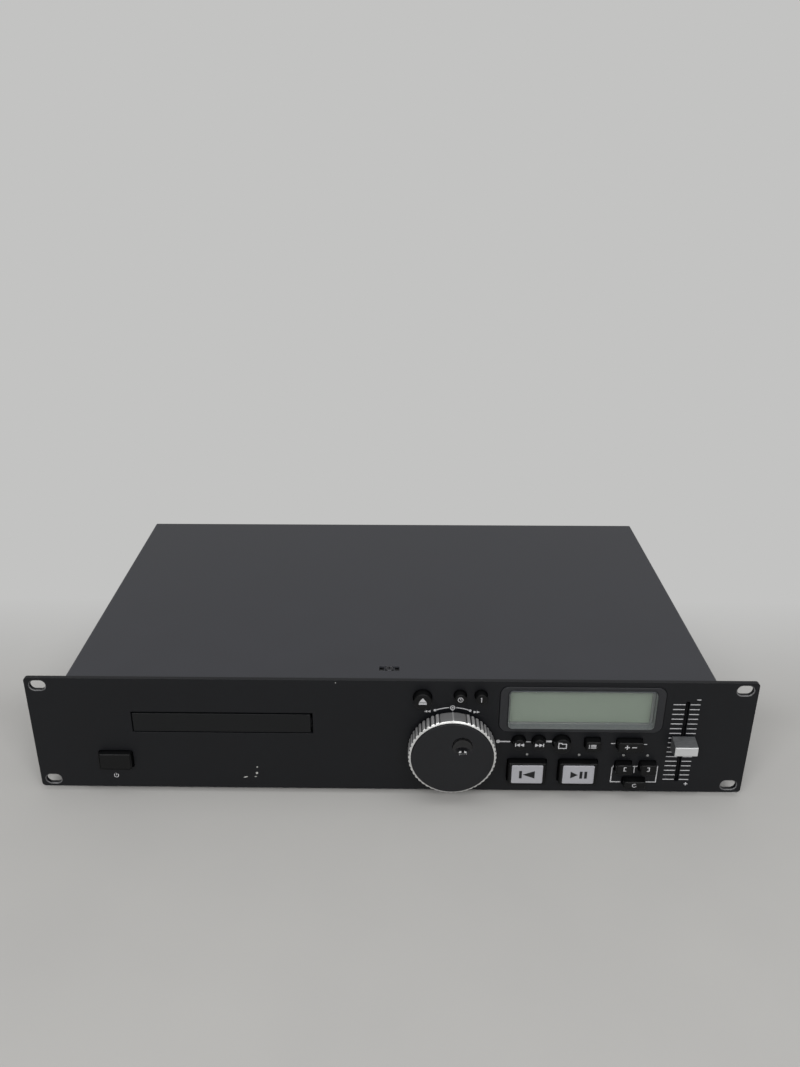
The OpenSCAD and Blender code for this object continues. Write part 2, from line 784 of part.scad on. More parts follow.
module status_leds() {
    color("#c9c9c4")
        for (p = led_places) at(p) {
            rod_y(led_r, front - 0.1, board_y - 3);
            rod_y(led_r + 0.6, board_y - 3, board_y);
        }
}

module control_board() {
    color("#2f5a3a") difference() {
        block([board_edges[0], board_y, board_edges[2]], [board_edges[1], board_y + board_t, board_edges[3]]);
        board_screw_places() screw_hole(drill_r);
    }
}

module board_posts() {
    color("#c6b878")
        for (p = post_places) at(p) difference() {
            translate([0, board_y, 0]) rotate([90, 0, 0]) cylinder(r = post_r, h = board_y, $fn = 6);
            rod_y(tap_r, board_y - screw_l, board_y + 1);
        }
}

module tact_switches() {
    color("#3c3c3e")
        for (p = tact_places) at(p) {
            along_y(board_y - tact_h + 0.9, board_y) square(tact_w, center = true);
            rod_y(tact_r, board_y - tact_h, board_y);
        }
}

// Round button with its flange behind the panel and its stem
module round_button(d) {
    face = front - button_proud;
    translate([0, face + key_edge, 0]) rotate([90, 0, 0])
        cylinder(r1 = d / 2, r2 = d / 2 - key_edge, h = key_edge);
    rod_y(d / 2, face + key_edge, flange_y + flange_t);
    rod_y(d / 2 + button_gap + flange_lap, flange_y, flange_y + flange_t);
    rod_y(stem_r, flange_y, stem_y);
}

// Square-cornered button with its flange and its stem
module rect_button(size, proud, gap, stem_end) {
    face = front - proud;
    along_y(face, face + key_edge) rrect(size[0] - 2 * key_edge, size[1] - 2 * key_edge, key_r);
    along_y(face + key_edge, flange_y + flange_t) rrect(size[0], size[1], key_r);
    along_y(flange_y, flange_y + flange_t)
        rrect(size[0] + 2 * gap + 2 * flange_lap, size[1] + 2 * gap + 2 * flange_lap, key_r);
    rod_y(stem_r, flange_y, stem_end);
}

// Cue or play button: a black body with a shallow pocket for its cap
module deck_button() {
    difference() {
        rect_button(deck_size, deck_proud, deck_gap, stem_y);
        along_y(front - deck_proud - 1, front - deck_proud + 1.2)
            rrect(deck_cap[0] + 0.2, deck_cap[1] + 0.2, key_r);
    }
}
module deck_cap_plate() {
    along_y(front - deck_proud - 0.3, front - deck_proud + 1.2) rrect(deck_cap[0], deck_cap[1], key_r);
}

module eject_button() { color("#1e1f21") at(eject_at) round_button(eject_d); }
module time_button() { color("#1e1f21") at(time_at) round_button(mode_d); }
module single_button() { color("#1e1f21") at(single_at) round_button(mode_d); }
module track_back_button() { color("#1e1f21") at(back_at) round_button(track_d); }
module track_forward_button() { color("#1e1f21") at(forward_at) round_button(track_d); }
module folder_button() { color("#1e1f21") at(folder_at) round_button(folder_d); }
module small_key(place, size) {
    color("#1e1f21") at(place) rect_button(size, button_proud, button_gap, stem_y);
}
module program_button() { small_key(program_at, program_size); }
module pitch_button() { small_key(pitch_at, pitch_size); }
module loop_in_button() { small_key(loop_in_at, loop_size); }
module loop_out_button() { small_key(loop_out_at, loop_size); }
module reloop_button() { small_key(reloop_at, reloop_size); }
module cue_button() { color("#1a1a1c") at(cue_at) deck_button(); }
module play_button() { color("#1a1a1c") at(play_at) deck_button(); }
module cue_cap() { color("#a5a5aa") at(cue_at) deck_cap_plate(); }
module play_cap() { color("#a5a5aa") at(play_at) deck_cap_plate(); }

// Power button, whose square stem slides in the switch
module power_button() {
    color("#1b1c1e") {
        at(power_at) rect_button(power_size, power_proud, deck_gap, flange_y + flange_t);
        at(power_at) along_y(flange_y, switch_y + 4) square(stem_size, center = true);
    }
}

module power_switch() {
    color("#2a2a2d") at(power_at) difference() {
        along_y(switch_y, switch_y + switch_size[1]) square([switch_size[0], switch_size[2]], center = true);
        along_y(switch_y - 1, switch_y + 4 + power_travel + 1)
            square([stem_size[0] + 2 * slide_gap, stem_size[1] + 2 * slide_gap], center = true);
    }
}

module switch_bracket() {
    shelf_z = power_at[1] - switch_size[2] / 2;
    y0 = switch_y;
    y1 = switch_y + switch_size[1];
    color("#9c9d9f") along_x(power_at[0] - switch_size[0] / 2, power_at[0] + switch_size[0] / 2) {
        translate([y0, floor_z]) square([y1 - y0, sheet_t]);
        translate([y1 - sheet_t, floor_z]) square([sheet_t, shelf_z - floor_z]);
        translate([y0, shelf_z - sheet_t]) square([y1 - y0, sheet_t]);
    }
}

// Grip outline: ribs all round but for a smooth stretch with a pointer at the top
grip_outline = [
    for (i = [0 : rib_count - 1], k = [0 : 3])
        let (step = 360 / rib_count, mid = i * step - 180)
        let (a = mid + step * [-0.42, -0.2, 0.2, 0.42][k], crest = k == 1 || k == 2)
        let (r = abs(mid) < smooth_half ? ring_r - rib_depth / 2 : (crest ? ring_r : ring_r - rib_depth))
        [r * sin(a), r * cos(a)]
];

module shuttle_ring() {
    face = front - ring_proud;
    web = disc_face + disc_t + jog_gap;
    rim = 0.15;
    color("#8a8a8c") at(jog_at) difference() {
        union() {
            // The bevel cuts across the ribs and the pointer at the top
            intersection() {
                along_y(face, front - ring_gap) {
                    polygon(grip_outline);
                    translate([0, ring_r - rib_depth]) square([1, 2 * rib_depth], center = true);
                }
                union() {
                    rod_y(ring_r + 1, face + ring_bevel, front);
                    translate([0, face + ring_bevel, 0]) rotate([90, 0, 0])
                        cylinder(r1 = ring_r + rim, r2 = disc_r + jog_gap + rim, h = ring_bevel);
                }
            }
            rod_y(sleeve_r, web, 4);
        }
        rod_y(disc_r + jog_gap, face - 1, web);
        difference() {
            rod_y(ring_r - 4, web + 2.5, front - ring_gap + 1);
            rod_y(sleeve_r + 2, web, front);
        }
        rod_y(jog_shaft_r + run_gap, face, 5);
    }
}

module shuttle_clip() {
    color("#b4b4b6") at(jog_at) difference() {
        rod_y(sleeve_r + 3, flange_gap, flange_gap + 1.2);
        rod_y(sleeve_r, 0, 3);
    }
}

module jog_disc() {
    ball = (dimple_r * dimple_r + dimple_depth * dimple_depth) / (2 * dimple_depth);
    color("#202123") at(jog_at) difference() {
        union() {
            translate([0, disc_face + key_edge, 0]) rotate([90, 0, 0])
                cylinder(r1 = disc_r, r2 = disc_r - key_edge, h = key_edge);
            rod_y(disc_r, disc_face + key_edge, disc_face + disc_t);
        }
        translate([dimple_at[0], disc_face + dimple_depth - ball, dimple_at[1]]) sphere(ball);
    }
}

module jog_shaft() {
    color("#b9babc") at(jog_at) {
        rod_y(jog_shaft_r, disc_face + disc_t, board_y - 4.6);
        rod_y(jog_tail_r, board_y - 4.6, board_y - 0.8);
    }
}

module jog_encoder() {
    color("#3a3a3c") at(jog_at) difference() {
        along_y(board_y - 4.2, board_y) square(encoder_w, center = true);
        rod_y(jog_tail_r + run_gap, board_y - 5, board_y - 0.5);
    }
}

module fader_cap() {
    y0 = front - fader_lift;
    y1 = front - fader_proud;
    foot = fader_cap_size[1] / 2;
    top = fader_cap_size[2] / 2;
    color("#cdcdcd") at(fader_at) difference() {
        along_x(-fader_cap_size[0] / 2, fader_cap_size[0] / 2)
            polygon([[y0, -foot], [y0, foot], [y0 - 1.5, foot], [y1 + 0.5, top], [y1, top - 0.5],
                [y1, -top + 0.5], [y1 + 0.5, -top], [y0 - 1.5, -foot]]);
        along_y(y1 + 1.9, y0 + 1) square([lever_size[0] + 0.1, lever_size[1] + 0.1], center = true);
    }
}

// Fader lever, with the carriage that runs in the housing
module fader_lever() {
    color("#a9aaac") at(fader_at) {
        along_y(front - fader_proud + 2, fader_top + 2) square(lever_size, center = true);
        along_y(fader_top + 1.4, fader_top + 1.4 + carriage[2])
            square([carriage[0], carriage[1]], center = true);
    }
}

module fader_body() {
    color("#9a9b9d") at(fader_at) difference() {
        along_y(fader_top, board_y) square(fader_body_size, center = true);
        along_y(fader_top + 1, fader_top + 1.8 + carriage[2])
            square([carriage[0] + 0.8, 2 * fader_travel + carriage[1] + 0.8], center = true);
        along_y(fader_top - 1, fader_top + 2)
            square([lever_size[0] + 0.8, 2 * fader_travel + lever_size[1] + 0.8], center = true);
    }
}

module disc_tray() {
    color("#26272a") {
        difference() {
            block([tray_x - tray_w / 2, tray_front, rail_z],
                [tray_x + tray_w / 2, tray_front + tray_l, tray_top]);
            translate([tray_x, disc_y, well_z]) cylinder(r = well_r, h = tray_h);
            translate([tray_x, disc_y, well_z - small_step]) cylinder(r = small_well_r, h = tray_h);
            translate([tray_x, disc_y, rail_z - 1]) cylinder(r = tray_slot / 2, h = tray_h + 2);
            block([tray_x - tray_slot / 2, disc_y, rail_z - 1],
                [tray_x + tray_slot / 2, tray_front + tray_l + 1, tray_top + 1]);
        }
        translate([tray_x - rack_face, tray_gear_y, rack_z]) linear_extrude(rail_z - rack_z)
            polygon(rack_outline(tray_module, 6 - tray_gear_y, tray_travel + 12, 3.6, gear_play));
    }
}

module tray_door() {
    color("#212225") translate([tray_x, 0, tray_z]) along_y(front, tray_front)
        rrect(mouth_size[0] - 2 * door_gap, mouth_size[1] - 2 * door_gap, 0.5);
}

module loader_frame() {
    ledge_top = rail_z - slide_gap;
    lip_z = tray_top + slide_gap + 0.1;
    floor_top = deck_floor + deck_floor_t;
    color("#d8d6cf") difference() {
        union() {
            difference() {
                block([tray_x - wall_out, 2, deck_floor], [tray_x + wall_out, 2 + loader_l, floor_top]);
                block([tray_x - deck_half - 3, deck_front - 8, deck_floor - 1],
                    [tray_x + deck_half + 3, hinge_y + 6, floor_top + 1]);
            }
            for (s = [-1, 1]) {
                along_wall(s, wall_in, wall_out, 2, 2 + loader_l, deck_floor, wall_top);
                along_wall(s, wall_in - 3.3, wall_in, 2, 2 + loader_l, floor_top, ledge_top);
                along_wall(s, wall_in - 2.2, wall_in, 4, 16, lip_z, lip_z + 1.5);
                along_wall(s, deck_half + 3, deck_half + 8,
                    hinge_y - boss, hinge_y + boss, hinge_z - boss, hinge_z + boss);
            }
            for (p = leg_places)
                translate([p[0], p[1], floor_z]) cylinder(r = leg_r, h = deck_floor - floor_z);
            translate([tray_gear_x, tray_gear_y, deck_floor])
                cylinder(r = gear_post_r, h = gear_z[1] - deck_floor);
        }
        translate([motor_x, tray_gear_y, deck_floor - 1]) cylinder(r = 3, h = deck_floor_t + 2);
        for (s = [-1, 1])
            translate([tray_x + s * (deck_half + 4.8), hinge_y, hinge_z]) rotate([0, 90, 0])
                cylinder(r = hinge_r + run_gap, h = 5.4, center = true);
        leg_screw_places() screw_hole(tap_r);
    }
}

// Bar of the loader on one side of the tray, s being -1 for the left
module along_wall(s, near, far, y0, y1, z0, z1) {
    block([tray_x + min(s * near, s * far), y0, z0], [tray_x + max(s * near, s * far), y1, z1]);
}

module clamp_bridge() {
    color("#a6a7a9") difference() {
        block([tray_x - wall_out, disc_y - 18, wall_top],
            [tray_x + wall_out, disc_y + 18, wall_top + bridge_t]);
        translate([tray_x, disc_y, wall_top - 1]) cylinder(r = clamp_bore, h = bridge_t + 2);
    }
}

module clamper() {
    hang_z = wall_top + bridge_t + slide_gap;
    color("#e2e0da") translate([tray_x, disc_y, 0]) difference() {
        union() {
            translate([0, 0, clamp_z]) cylinder(r = clamper_r, h = 2.2);
            translate([0, 0, clamp_z]) cylinder(r = clamp_bore - slide_gap, h = hang_z - clamp_z);
            translate([0, 0, hang_z]) cylinder(r = clamper_r, h = 1.8);
        }
        translate([0, 0, clamp_z - over]) cylinder(r = cone_r + 1.4, h = cone_h + over);
    }
}

module tray_gear() {
    color("#e8e4d8") translate([tray_gear_x, tray_gear_y, 0]) difference() {
        union() {
            translate([0, 0, gear_z[0]]) linear_extrude(gear_z[1] - gear_z[0])
                polygon(gear_outline(tray_module, tray_teeth, gear_play));
            pulley(pulley_r);
            translate([0, 0, pulley_z[1]]) cylinder(r = 6, h = gear_z[0] - pulley_z[1]);
        }
        translate([0, 0, pulley_z[0] - 1]) cylinder(r = gear_post_r + run_gap, h = 20);
    }
}

// Grooved pulley on Z, with its belt groove in the middle
module pulley(r) {
    mid = (pulley_z[0] + pulley_z[1]) / 2;
    half = belt_t / 2 + 0.2;
    translate([0, 0, pulley_z[0]]) cylinder(r = r, h = pulley_z[1] - pulley_z[0]);
    translate([0, 0, pulley_z[0]]) cylinder(r = r + belt_t / 2, h = mid - half - pulley_z[0]);
    translate([0, 0, mid + half]) cylinder(r = r + belt_t / 2, h = pulley_z[1] - mid - half);
}

module motor_pulley() {
    color("#e8e4d8") translate([motor_x, tray_gear_y, 0]) {
        pulley(motor_pulley_r);
        translate([0, 0, deck_floor - 10]) cylinder(r = motor_shaft_r, h = pulley_z[0] - deck_floor + 10);
    }
}

module loading_motor() {
    color("#8d8e90") translate([motor_x, tray_gear_y, 0]) difference() {
        translate([0, 0, deck_floor - loading_motor_size[1]])
            cylinder(r = loading_motor_size[0], h = loading_motor_size[1]);
        translate([0, 0, deck_floor - 10.5]) cylinder(r = motor_shaft_r + run_gap, h = 10.5 + over);
    }
}

// Belt round both pulleys: two arcs joined by straight runs
module belt_loop(grow) {
    far = motor_x - tray_gear_x;
    wide = pulley_r + grow;
    narrow = motor_pulley_r + grow;
    a = acos((wide - narrow) / far);
    translate([tray_gear_x, tray_gear_y]) {
        circle(wide);
        translate([far, 0]) circle(narrow);
        polygon([polar(wide, -a), [far, 0] + polar(narrow, -a), [far, 0] + polar(narrow, a), polar(wide, a)]);
    }
}
module drive_belt() {
    mid = (pulley_z[0] + pulley_z[1]) / 2;
    color("#161616") translate([0, 0, mid - belt_t / 2]) linear_extrude(belt_t) difference() {
        belt_loop(belt_t + 0.1);
        belt_loop(0.1);
    }
}

module traverse_deck() {
    color("#bdbec0") difference() {
        union() {
            block([tray_x - deck_half, deck_front, deck_z], [tray_x + deck_half, hinge_y, deck_top]);
            translate([tray_x, hinge_y, hinge_z]) rotate([0, 90, 0]) {
                cylinder(r = hinge_r + 1, h = 2 * deck_half, center = true);
                cylinder(r = hinge_r, h = 2 * deck_half + 14, center = true);
            }
            for (s = [-1, 1], y = rod_ends)
                translate([tray_x + s * rod_dx, y, (deck_top + rod_z + rod_block) / 2])
                    cube([7, 4, rod_z + rod_block - deck_top], center = true);
        }
        block([tray_x - rod_dx - 5, rod_ends[0] + 3, deck_z - over],
            [tray_x + rod_dx + 5, rod_ends[1] - 3, deck_top + 0.01]);
        translate([tray_x, disc_y, deck_z - over]) cylinder(r = 5, h = deck_t + 2 * over);
        for (s = [-1, 1]) guide_rod(s, rod_r + snug);
        translate([sled_gear_at[0], sled_gear_at[1], deck_z - over])
            cylinder(r = motor_shaft_r + run_gap, h = deck_t + 2 * over);
    }
}

// Rod on one side of the sled, s being -1 for the left
module guide_rod(s, r) {
    translate([tray_x + s * rod_dx, 0, rod_z]) rod_y(r, rod_ends[0] - 1.5, rod_ends[1] + 1.5);
}

// Spindle motor on the deck and sled motor under it
module traverse_motors() {
    color("#8d8e90") {
        translate([tray_x, disc_y, deck_top]) difference() {
            cylinder(r = spindle_motor_r, h = turntable_z - turntable_t - 1.3 - deck_top);
            translate([0, 0, 1]) cylinder(r = motor_shaft_r + run_gap, h = 30);
        }
        translate([sled_gear_at[0], sled_gear_at[1], deck_z - sled_motor_size[1]]) difference() {
            cylinder(r = sled_motor_size[0], h = sled_motor_size[1]);
            translate([0, 0, sled_motor_size[1] - 5]) cylinder(r = motor_shaft_r + run_gap, h = 6);
        }
    }
}

module turntable() {
    color("#303134") translate([tray_x, disc_y, 0]) {
        translate([0, 0, turntable_z - turntable_t]) cylinder(r = turntable_r, h = turntable_t);
        translate([0, 0, turntable_z]) cylinder(r1 = cone_r, r2 = cone_r - 1.2, h = cone_h);
        translate([0, 0, deck_top + 1.5])
            cylinder(r = motor_shaft_r, h = turntable_z - turntable_t - deck_top - 1.5);
    }
}

module guide_rods() {
    color("#c9cacc") for (s = [-1, 1]) guide_rod(s, rod_r);
}

module pickup_sled() {
    color("#4c4d50") translate([tray_x, lens_y, 0]) difference() {
        union() {
            block([-rod_dx - 3.2, -sled_half, rod_z - 2.6], [rod_dx + 3.2, sled_half, rod_z + 2.6]);
            translate([0, 0, rod_z]) cylinder(r = 5.5, h = lens_h);
            translate([sled_rack_x - tray_x, sled_gear_at[1] - lens_y, sled_rack_z[0]])
                linear_extrude(sled_rack_z[1] - sled_rack_z[0])
                    polygon(rack_outline(sled_module, -37, 5, 2.9, gear_play));
        }
        for (s = [-1, 1])
            translate([s * rod_dx, 0, rod_z]) rotate([90, 0, 0])
                cylinder(r = rod_r + run_gap, h = 3 * sled_half, center = true);
        translate([0, 0, rod_z + lens_h - 1.4]) cylinder(r = 3.4, h = 1.4 + over);
    }
}

module sled_gear() {
    color("#e8e4d8") translate([sled_gear_at[0], sled_gear_at[1], 0]) {
        translate([0, 0, sled_rack_z[0]]) linear_extrude(sled_rack_z[1] - sled_rack_z[0])
            polygon(gear_outline(sled_module, sled_teeth, gear_play));
        translate([0, 0, deck_z - 4]) cylinder(r = motor_shaft_r, h = sled_rack_z[0] - deck_z + 4);
        translate([0, 0, deck_top + slide_gap]) cylinder(r = 2.4, h = sled_rack_z[0] - deck_top - slide_gap);
    }
}

module main_board() {
    // Processor, memory and power parts: X and Y from the board's corner, then their size
    chips = [
        [40, 40, 26, 26, 3],
        [82, 48, 20, 14, 2.6],
        [110, 26, 30, 10, 6],
        [28, 90, 30, 6, 9]
    ];
    corner = [main_edges[0], main_edges[2], main_z];
    color("#2f5a3a") difference() {
        union() {
            block(corner, [main_edges[1], main_edges[3], main_z + board_t]);
            for (c = chips)
                translate(corner + [c[0], c[1], 0]) cube([c[2], c[3], board_t + c[4]]);
            // Power supply capacitors
            for (y = [30, 54, 78])
                translate([main_edges[1] - 26, main_edges[2] + y, main_z]) cylinder(r = 8, h = 27);
        }
        main_screw_places() screw_hole(drill_r);
    }
}

module transformer() {
    half = core_size / 2;
    color("#6b5a3c") translate([transformer_at[0], transformer_y, floor_z]) difference() {
        union() {
            translate([-half[0], -half[1], 2]) cube(core_size);
            translate([-half[0] / 2, -half[1] - 7, 8]) cube([half[0], core_size[1] + 14, core_size[2] - 12]);
            translate([-tabs_x - 5, -half[1], 0]) cube([2 * tabs_x + 10, core_size[1], 2]);
        }
        for (s = [-1, 1])
            translate([s * tabs_x, 0, -1]) cylinder(r = drill_r, h = 4);
    }
}

// Mains inlet: a moulded socket with three blades, flanged outside the rear wall
module inlet_screw_places() {
    for (s = [-1, 1])
        translate([inlet_at[0] + s * inlet_screw_dx, rear_y + inlet_flange[2], inlet_at[1]])
            rotate([-90, 0, 0]) children();
}
module mains_inlet() {
    mouth_y = rear_y + inlet_flange[2];
    base_y = mouth_y - inlet_mouth[2];
    color("#202022") {
        difference() {
            union() {
                at(inlet_at) along_y(rear_y, mouth_y) rrect(inlet_flange[0], inlet_flange[1], 4);
                at(inlet_at) along_y(base_y - 3, rear_y)
                    square([inlet_mouth[0] + 4, inlet_mouth[1] + 4], center = true);
            }
            at(inlet_at) along_y(base_y, mouth_y + 1) square([inlet_mouth[0], inlet_mouth[1]], center = true);
            inlet_screw_places() screw_hole(drill_r);
        }
        for (p = [[-7, -2], [0, 2], [7, -2]])
            at(inlet_at + p) along_y(base_y - 1, mouth_y - 5) square([2, 4], center = true);
    }
}

module rca_jacks() {
    color("#c9ccd0")
        for (p = jack_places) at(p) difference() {
            union() {
                rod_y(jack_r, rear_y, rear_y + jack_l + 1.5);
                rod_y(jack_r + 2.2, rear_y, rear_y + 1.5);
                rod_y(jack_r + 1, inner_rear - 8, rear_y);
            }
            rod_y(jack_bore, rear_y + 1, rear_y + jack_l + 1.5 + over);
        }
}

module remote_jack() {
    color("#26262a") at(remote_at) difference() {
        union() {
            rod_y(remote_r + 2.6, rear_y, rear_y + 1.8);
            rod_y(remote_r + 1.6, inner_rear - 12, rear_y);
        }
        rod_y(remote_r, rear_y + 1.8 - 13, rear_y + 3);
    }
}

front_panel();
chassis_pan();
top_cover();
feet();
case_screws();
panel_nuts();
display_bezel();
display_window();
lcd_holder();
lcd_glass();
status_leds();
control_board();
board_posts();
tact_switches();
power_button();
power_switch();
switch_bracket();
eject_button();
time_button();
single_button();
track_back_button();
track_forward_button();
folder_button();
program_button();
pitch_button();
loop_in_button();
loop_out_button();
reloop_button();
cue_button();
cue_cap();
play_button();
play_cap();
shuttle_ring();
shuttle_clip();
jog_disc();
jog_shaft();
jog_encoder();
fader_cap();
fader_lever();
fader_body();
disc_tray();
tray_door();
loader_frame();
clamp_bridge();
clamper();
tray_gear();
motor_pulley();
loading_motor();
drive_belt();
traverse_deck();
traverse_motors();
turntable();
guide_rods();
pickup_sled();
sled_gear();
main_board();
transformer();
mains_inlet();
rca_jacks();
remote_jack();
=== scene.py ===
import json
import math
import bpy
from mathutils import Matrix, Vector


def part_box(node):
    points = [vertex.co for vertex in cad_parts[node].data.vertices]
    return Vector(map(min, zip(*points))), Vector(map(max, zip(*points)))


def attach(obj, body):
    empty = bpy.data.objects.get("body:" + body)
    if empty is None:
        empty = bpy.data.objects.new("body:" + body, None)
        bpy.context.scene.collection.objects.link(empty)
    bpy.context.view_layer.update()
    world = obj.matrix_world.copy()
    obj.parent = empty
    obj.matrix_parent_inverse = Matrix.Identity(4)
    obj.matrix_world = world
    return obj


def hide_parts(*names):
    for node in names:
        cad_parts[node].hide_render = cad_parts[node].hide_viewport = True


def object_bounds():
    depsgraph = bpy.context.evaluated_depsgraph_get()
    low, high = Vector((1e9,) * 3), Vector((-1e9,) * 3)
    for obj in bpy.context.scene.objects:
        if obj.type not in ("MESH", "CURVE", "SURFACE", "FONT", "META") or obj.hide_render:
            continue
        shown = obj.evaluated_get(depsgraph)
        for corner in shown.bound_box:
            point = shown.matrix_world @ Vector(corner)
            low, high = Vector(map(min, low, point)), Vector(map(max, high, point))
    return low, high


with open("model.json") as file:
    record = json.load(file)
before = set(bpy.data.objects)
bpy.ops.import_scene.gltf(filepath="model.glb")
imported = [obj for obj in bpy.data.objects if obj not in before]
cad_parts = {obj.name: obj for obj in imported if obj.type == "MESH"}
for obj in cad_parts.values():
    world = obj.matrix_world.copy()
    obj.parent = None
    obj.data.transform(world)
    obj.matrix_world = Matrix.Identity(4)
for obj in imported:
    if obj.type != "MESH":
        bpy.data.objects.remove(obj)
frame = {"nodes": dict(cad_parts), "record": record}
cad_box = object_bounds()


# Chassis pan: zinc-plated steel sheet, folded up at the front and rear, with short side flanges.
# The power switch's bracket is the same sheet, spot-welded to its floor.
# The bridge over the disc and the nuts behind the panel have the same plating.

nodes = frame["nodes"]
body_of = {node: body for body, held in frame["record"]["behaviour"]["bodies"].items() for node in held}


def linear(code):
    """sRGB hex to the linear colour that a shader takes"""
    parts = [int(code[i:i + 2], 16) / 255 for i in (1, 3, 5)]
    return [c / 12.92 if c <= 0.04045 else ((c + 0.055) / 1.055) ** 2.4 for c in parts] + [1.0]


def add(tree, kind, settings=None, links=None):
    """One node, with its settings and what feeds it"""
    node = tree.nodes.new(kind)
    for key, value in (settings or {}).items():
        if isinstance(key, str) and hasattr(node, key):
            setattr(node, key, value)
        else:
            node.inputs[key].default_value = value
    for key, source in (links or {}).items():
        tree.links.new(source, node.inputs[key])
    return node


def finish(name, light, dark, grain_mm, rough, bump_mm, metal=0.0, shine=0.5, stretch=(1.0, 1.0, 1.0)):
    """A surface of two close colours in grains of one size, with their relief and slow clouds over them"""
    cloud_mm, cloud_share, rough_spread = 38, 0.45, 0.05
    all_dark, all_light, relief_share = 0.3, 0.7, 0.6
    material = bpy.data.materials.new(name)
    material.use_nodes = True
    tree = material.node_tree
    shader = tree.nodes["Principled BSDF"]
    shader.inputs["Metallic"].default_value = metal
    shader.inputs["Specular IOR Level"].default_value = shine
    place = add(tree, "ShaderNodeTexCoord")
    drawn = add(tree, "ShaderNodeMapping", {"Scale": stretch}, {"Vector": place.outputs["Object"]})
    grain = add(tree, "ShaderNodeTexNoise", {"Scale": 1000 / grain_mm, "Detail": 3.0},
                {"Vector": drawn.outputs["Vector"]})
    cloud = add(tree, "ShaderNodeTexNoise", {"Scale": 1000 / cloud_mm, "Detail": 3.0},
                {"Vector": place.outputs["Object"]})
    both = add(tree, "ShaderNodeMix", {0: cloud_share}, {2: grain.outputs["Fac"], 3: cloud.outputs["Fac"]})
    share = add(tree, "ShaderNodeMapRange", {"From Min": all_dark, "From Max": all_light},
                {"Value": both.outputs[0]})
    tone = add(tree, "ShaderNodeMix", {"data_type": "RGBA", 6: linear(dark), 7: linear(light)},
               {0: share.outputs[0]})
    tree.links.new(tone.outputs[2], shader.inputs["Base Color"])
    gloss = add(tree, "ShaderNodeMapRange", {"To Min": rough - rough_spread, "To Max": rough + rough_spread},
                {"Value": share.outputs[0]})
    tree.links.new(gloss.outputs[0], shader.inputs["Roughness"])
    relief = add(tree, "ShaderNodeBump", {"Strength": relief_share, "Distance": bump_mm / 1000},
                 {"Height": grain.outputs["Fac"]})
    tree.links.new(relief.outputs["Normal"], shader.inputs["Normal"])
    return material


def dress(material, *names):
    """Gives CAD nodes their finish"""
    for name in names:
        if not nodes[name].material_slots:
            nodes[name].data.materials.append(material)
        for held in nodes[name].material_slots:
            held.material = material


def softened(name, node, edge_mm, material):
    """A copy of a CAD solid with its sharp edges rounded as on the real piece, in the solid's place"""
    flat_within, sharp_from, smooth_to = math.radians(1), math.radians(35), math.radians(38)
    bpy.ops.object.select_all(action="DESELECT")
    piece = bpy.data.objects.new(name, nodes[node].data.copy())
    bpy.context.scene.collection.objects.link(piece)
    bpy.context.view_layer.objects.active = piece
    piece.select_set(True)
    piece.data.materials.clear()
    piece.data.materials.append(material)
    bpy.ops.object.mode_set(mode="EDIT")
    bpy.ops.mesh.select_all(action="SELECT")
    bpy.ops.mesh.remove_doubles(threshold=0.000001)
    bpy.ops.mesh.dissolve_limited(angle_limit=flat_within)
    bpy.ops.object.mode_set(mode="OBJECT")
    bpy.ops.object.modifier_add(type="BEVEL")
    edge = piece.modifiers[-1]
    edge.width = edge_mm / 1000
    edge.segments = 3
    edge.limit_method = "ANGLE"
    edge.angle_limit = sharp_from
    edge.use_clamp_overlap = False
    bpy.ops.object.modifier_apply(modifier=edge.name)
    bpy.ops.object.shade_smooth_by_angle(angle=smooth_to)
    bpy.ops.object.modifier_add(type="WEIGHTED_NORMAL")
    piece.modifiers[-1].keep_sharp = True
    bpy.ops.object.modifier_apply(modifier=piece.modifiers[-1].name)
    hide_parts(node)
    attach(piece, body_of[node])
    return piece


# Bright zinc plating over rolled sheet: a clean grey metal with a faint mottle, drawn coarser than it is
zinc_plate = finish("zinc_plated_steel", "#b3b5b7", "#989a9d", 3.0, 0.36, 0.004, metal=1.0)
softened("folded_pan", "chassis_pan", 0.12, zinc_plate)
dress(zinc_plate, "switch_bracket", "clamp_bridge", "panel_nuts")


# Feet: four moulded rubber discs under the pan, each held by a screw in its recess.
# Their lower edge is rounded by the mould.

# Nitrile rubber: black, dull and slightly dusty
foot_rubber = finish("moulded_nitrile_rubber", "#27272a", "#18181a", 0.9, 0.78, 0.03)
softened("rubber_feet", "feet", 0.7, foot_rubber)


# Mains and audio end: transformer, main board, and the sockets in the pan's rear wall.
# The inlet is black thermoplastic with plated blades, the audio jacks are nickel with coloured rings.

def second_finish(piece, material, picked):
    """Gives another finish to the faces that the test picks by their centre and normal"""
    piece.data.materials.append(material)
    for face in piece.data.polygons:
        if picked(face.center, face.normal):
            face.material_index = len(piece.data.materials) - 1


def from_axis(point, x, z):
    """Distance of a point from a line along Y"""
    return math.hypot(point.x - x, point.z - z)


# Varnished laminations: brownish grey steel in fine layers
core_steel = finish("varnished_core_steel", "#5d5b58", "#474543", 0.5, 0.42, 0.02, metal=0.7,
                    stretch=(1, 1, 6))
dress(core_steel, "transformer")
# Solder mask over glass cloth: a deep green with the weave just showing
board_green = finish("solder_mask_on_glass_epoxy", "#2f6140", "#234c32", 1.2, 0.34, 0.01)
dress(board_green, "main_board")

# Nickel plate: a warm pale metal, bright and almost smooth
nickel = finish("nickel_plated_brass", "#c9c6bd", "#b5b2a9", 1.5, 0.22, 0.002, metal=1.0)
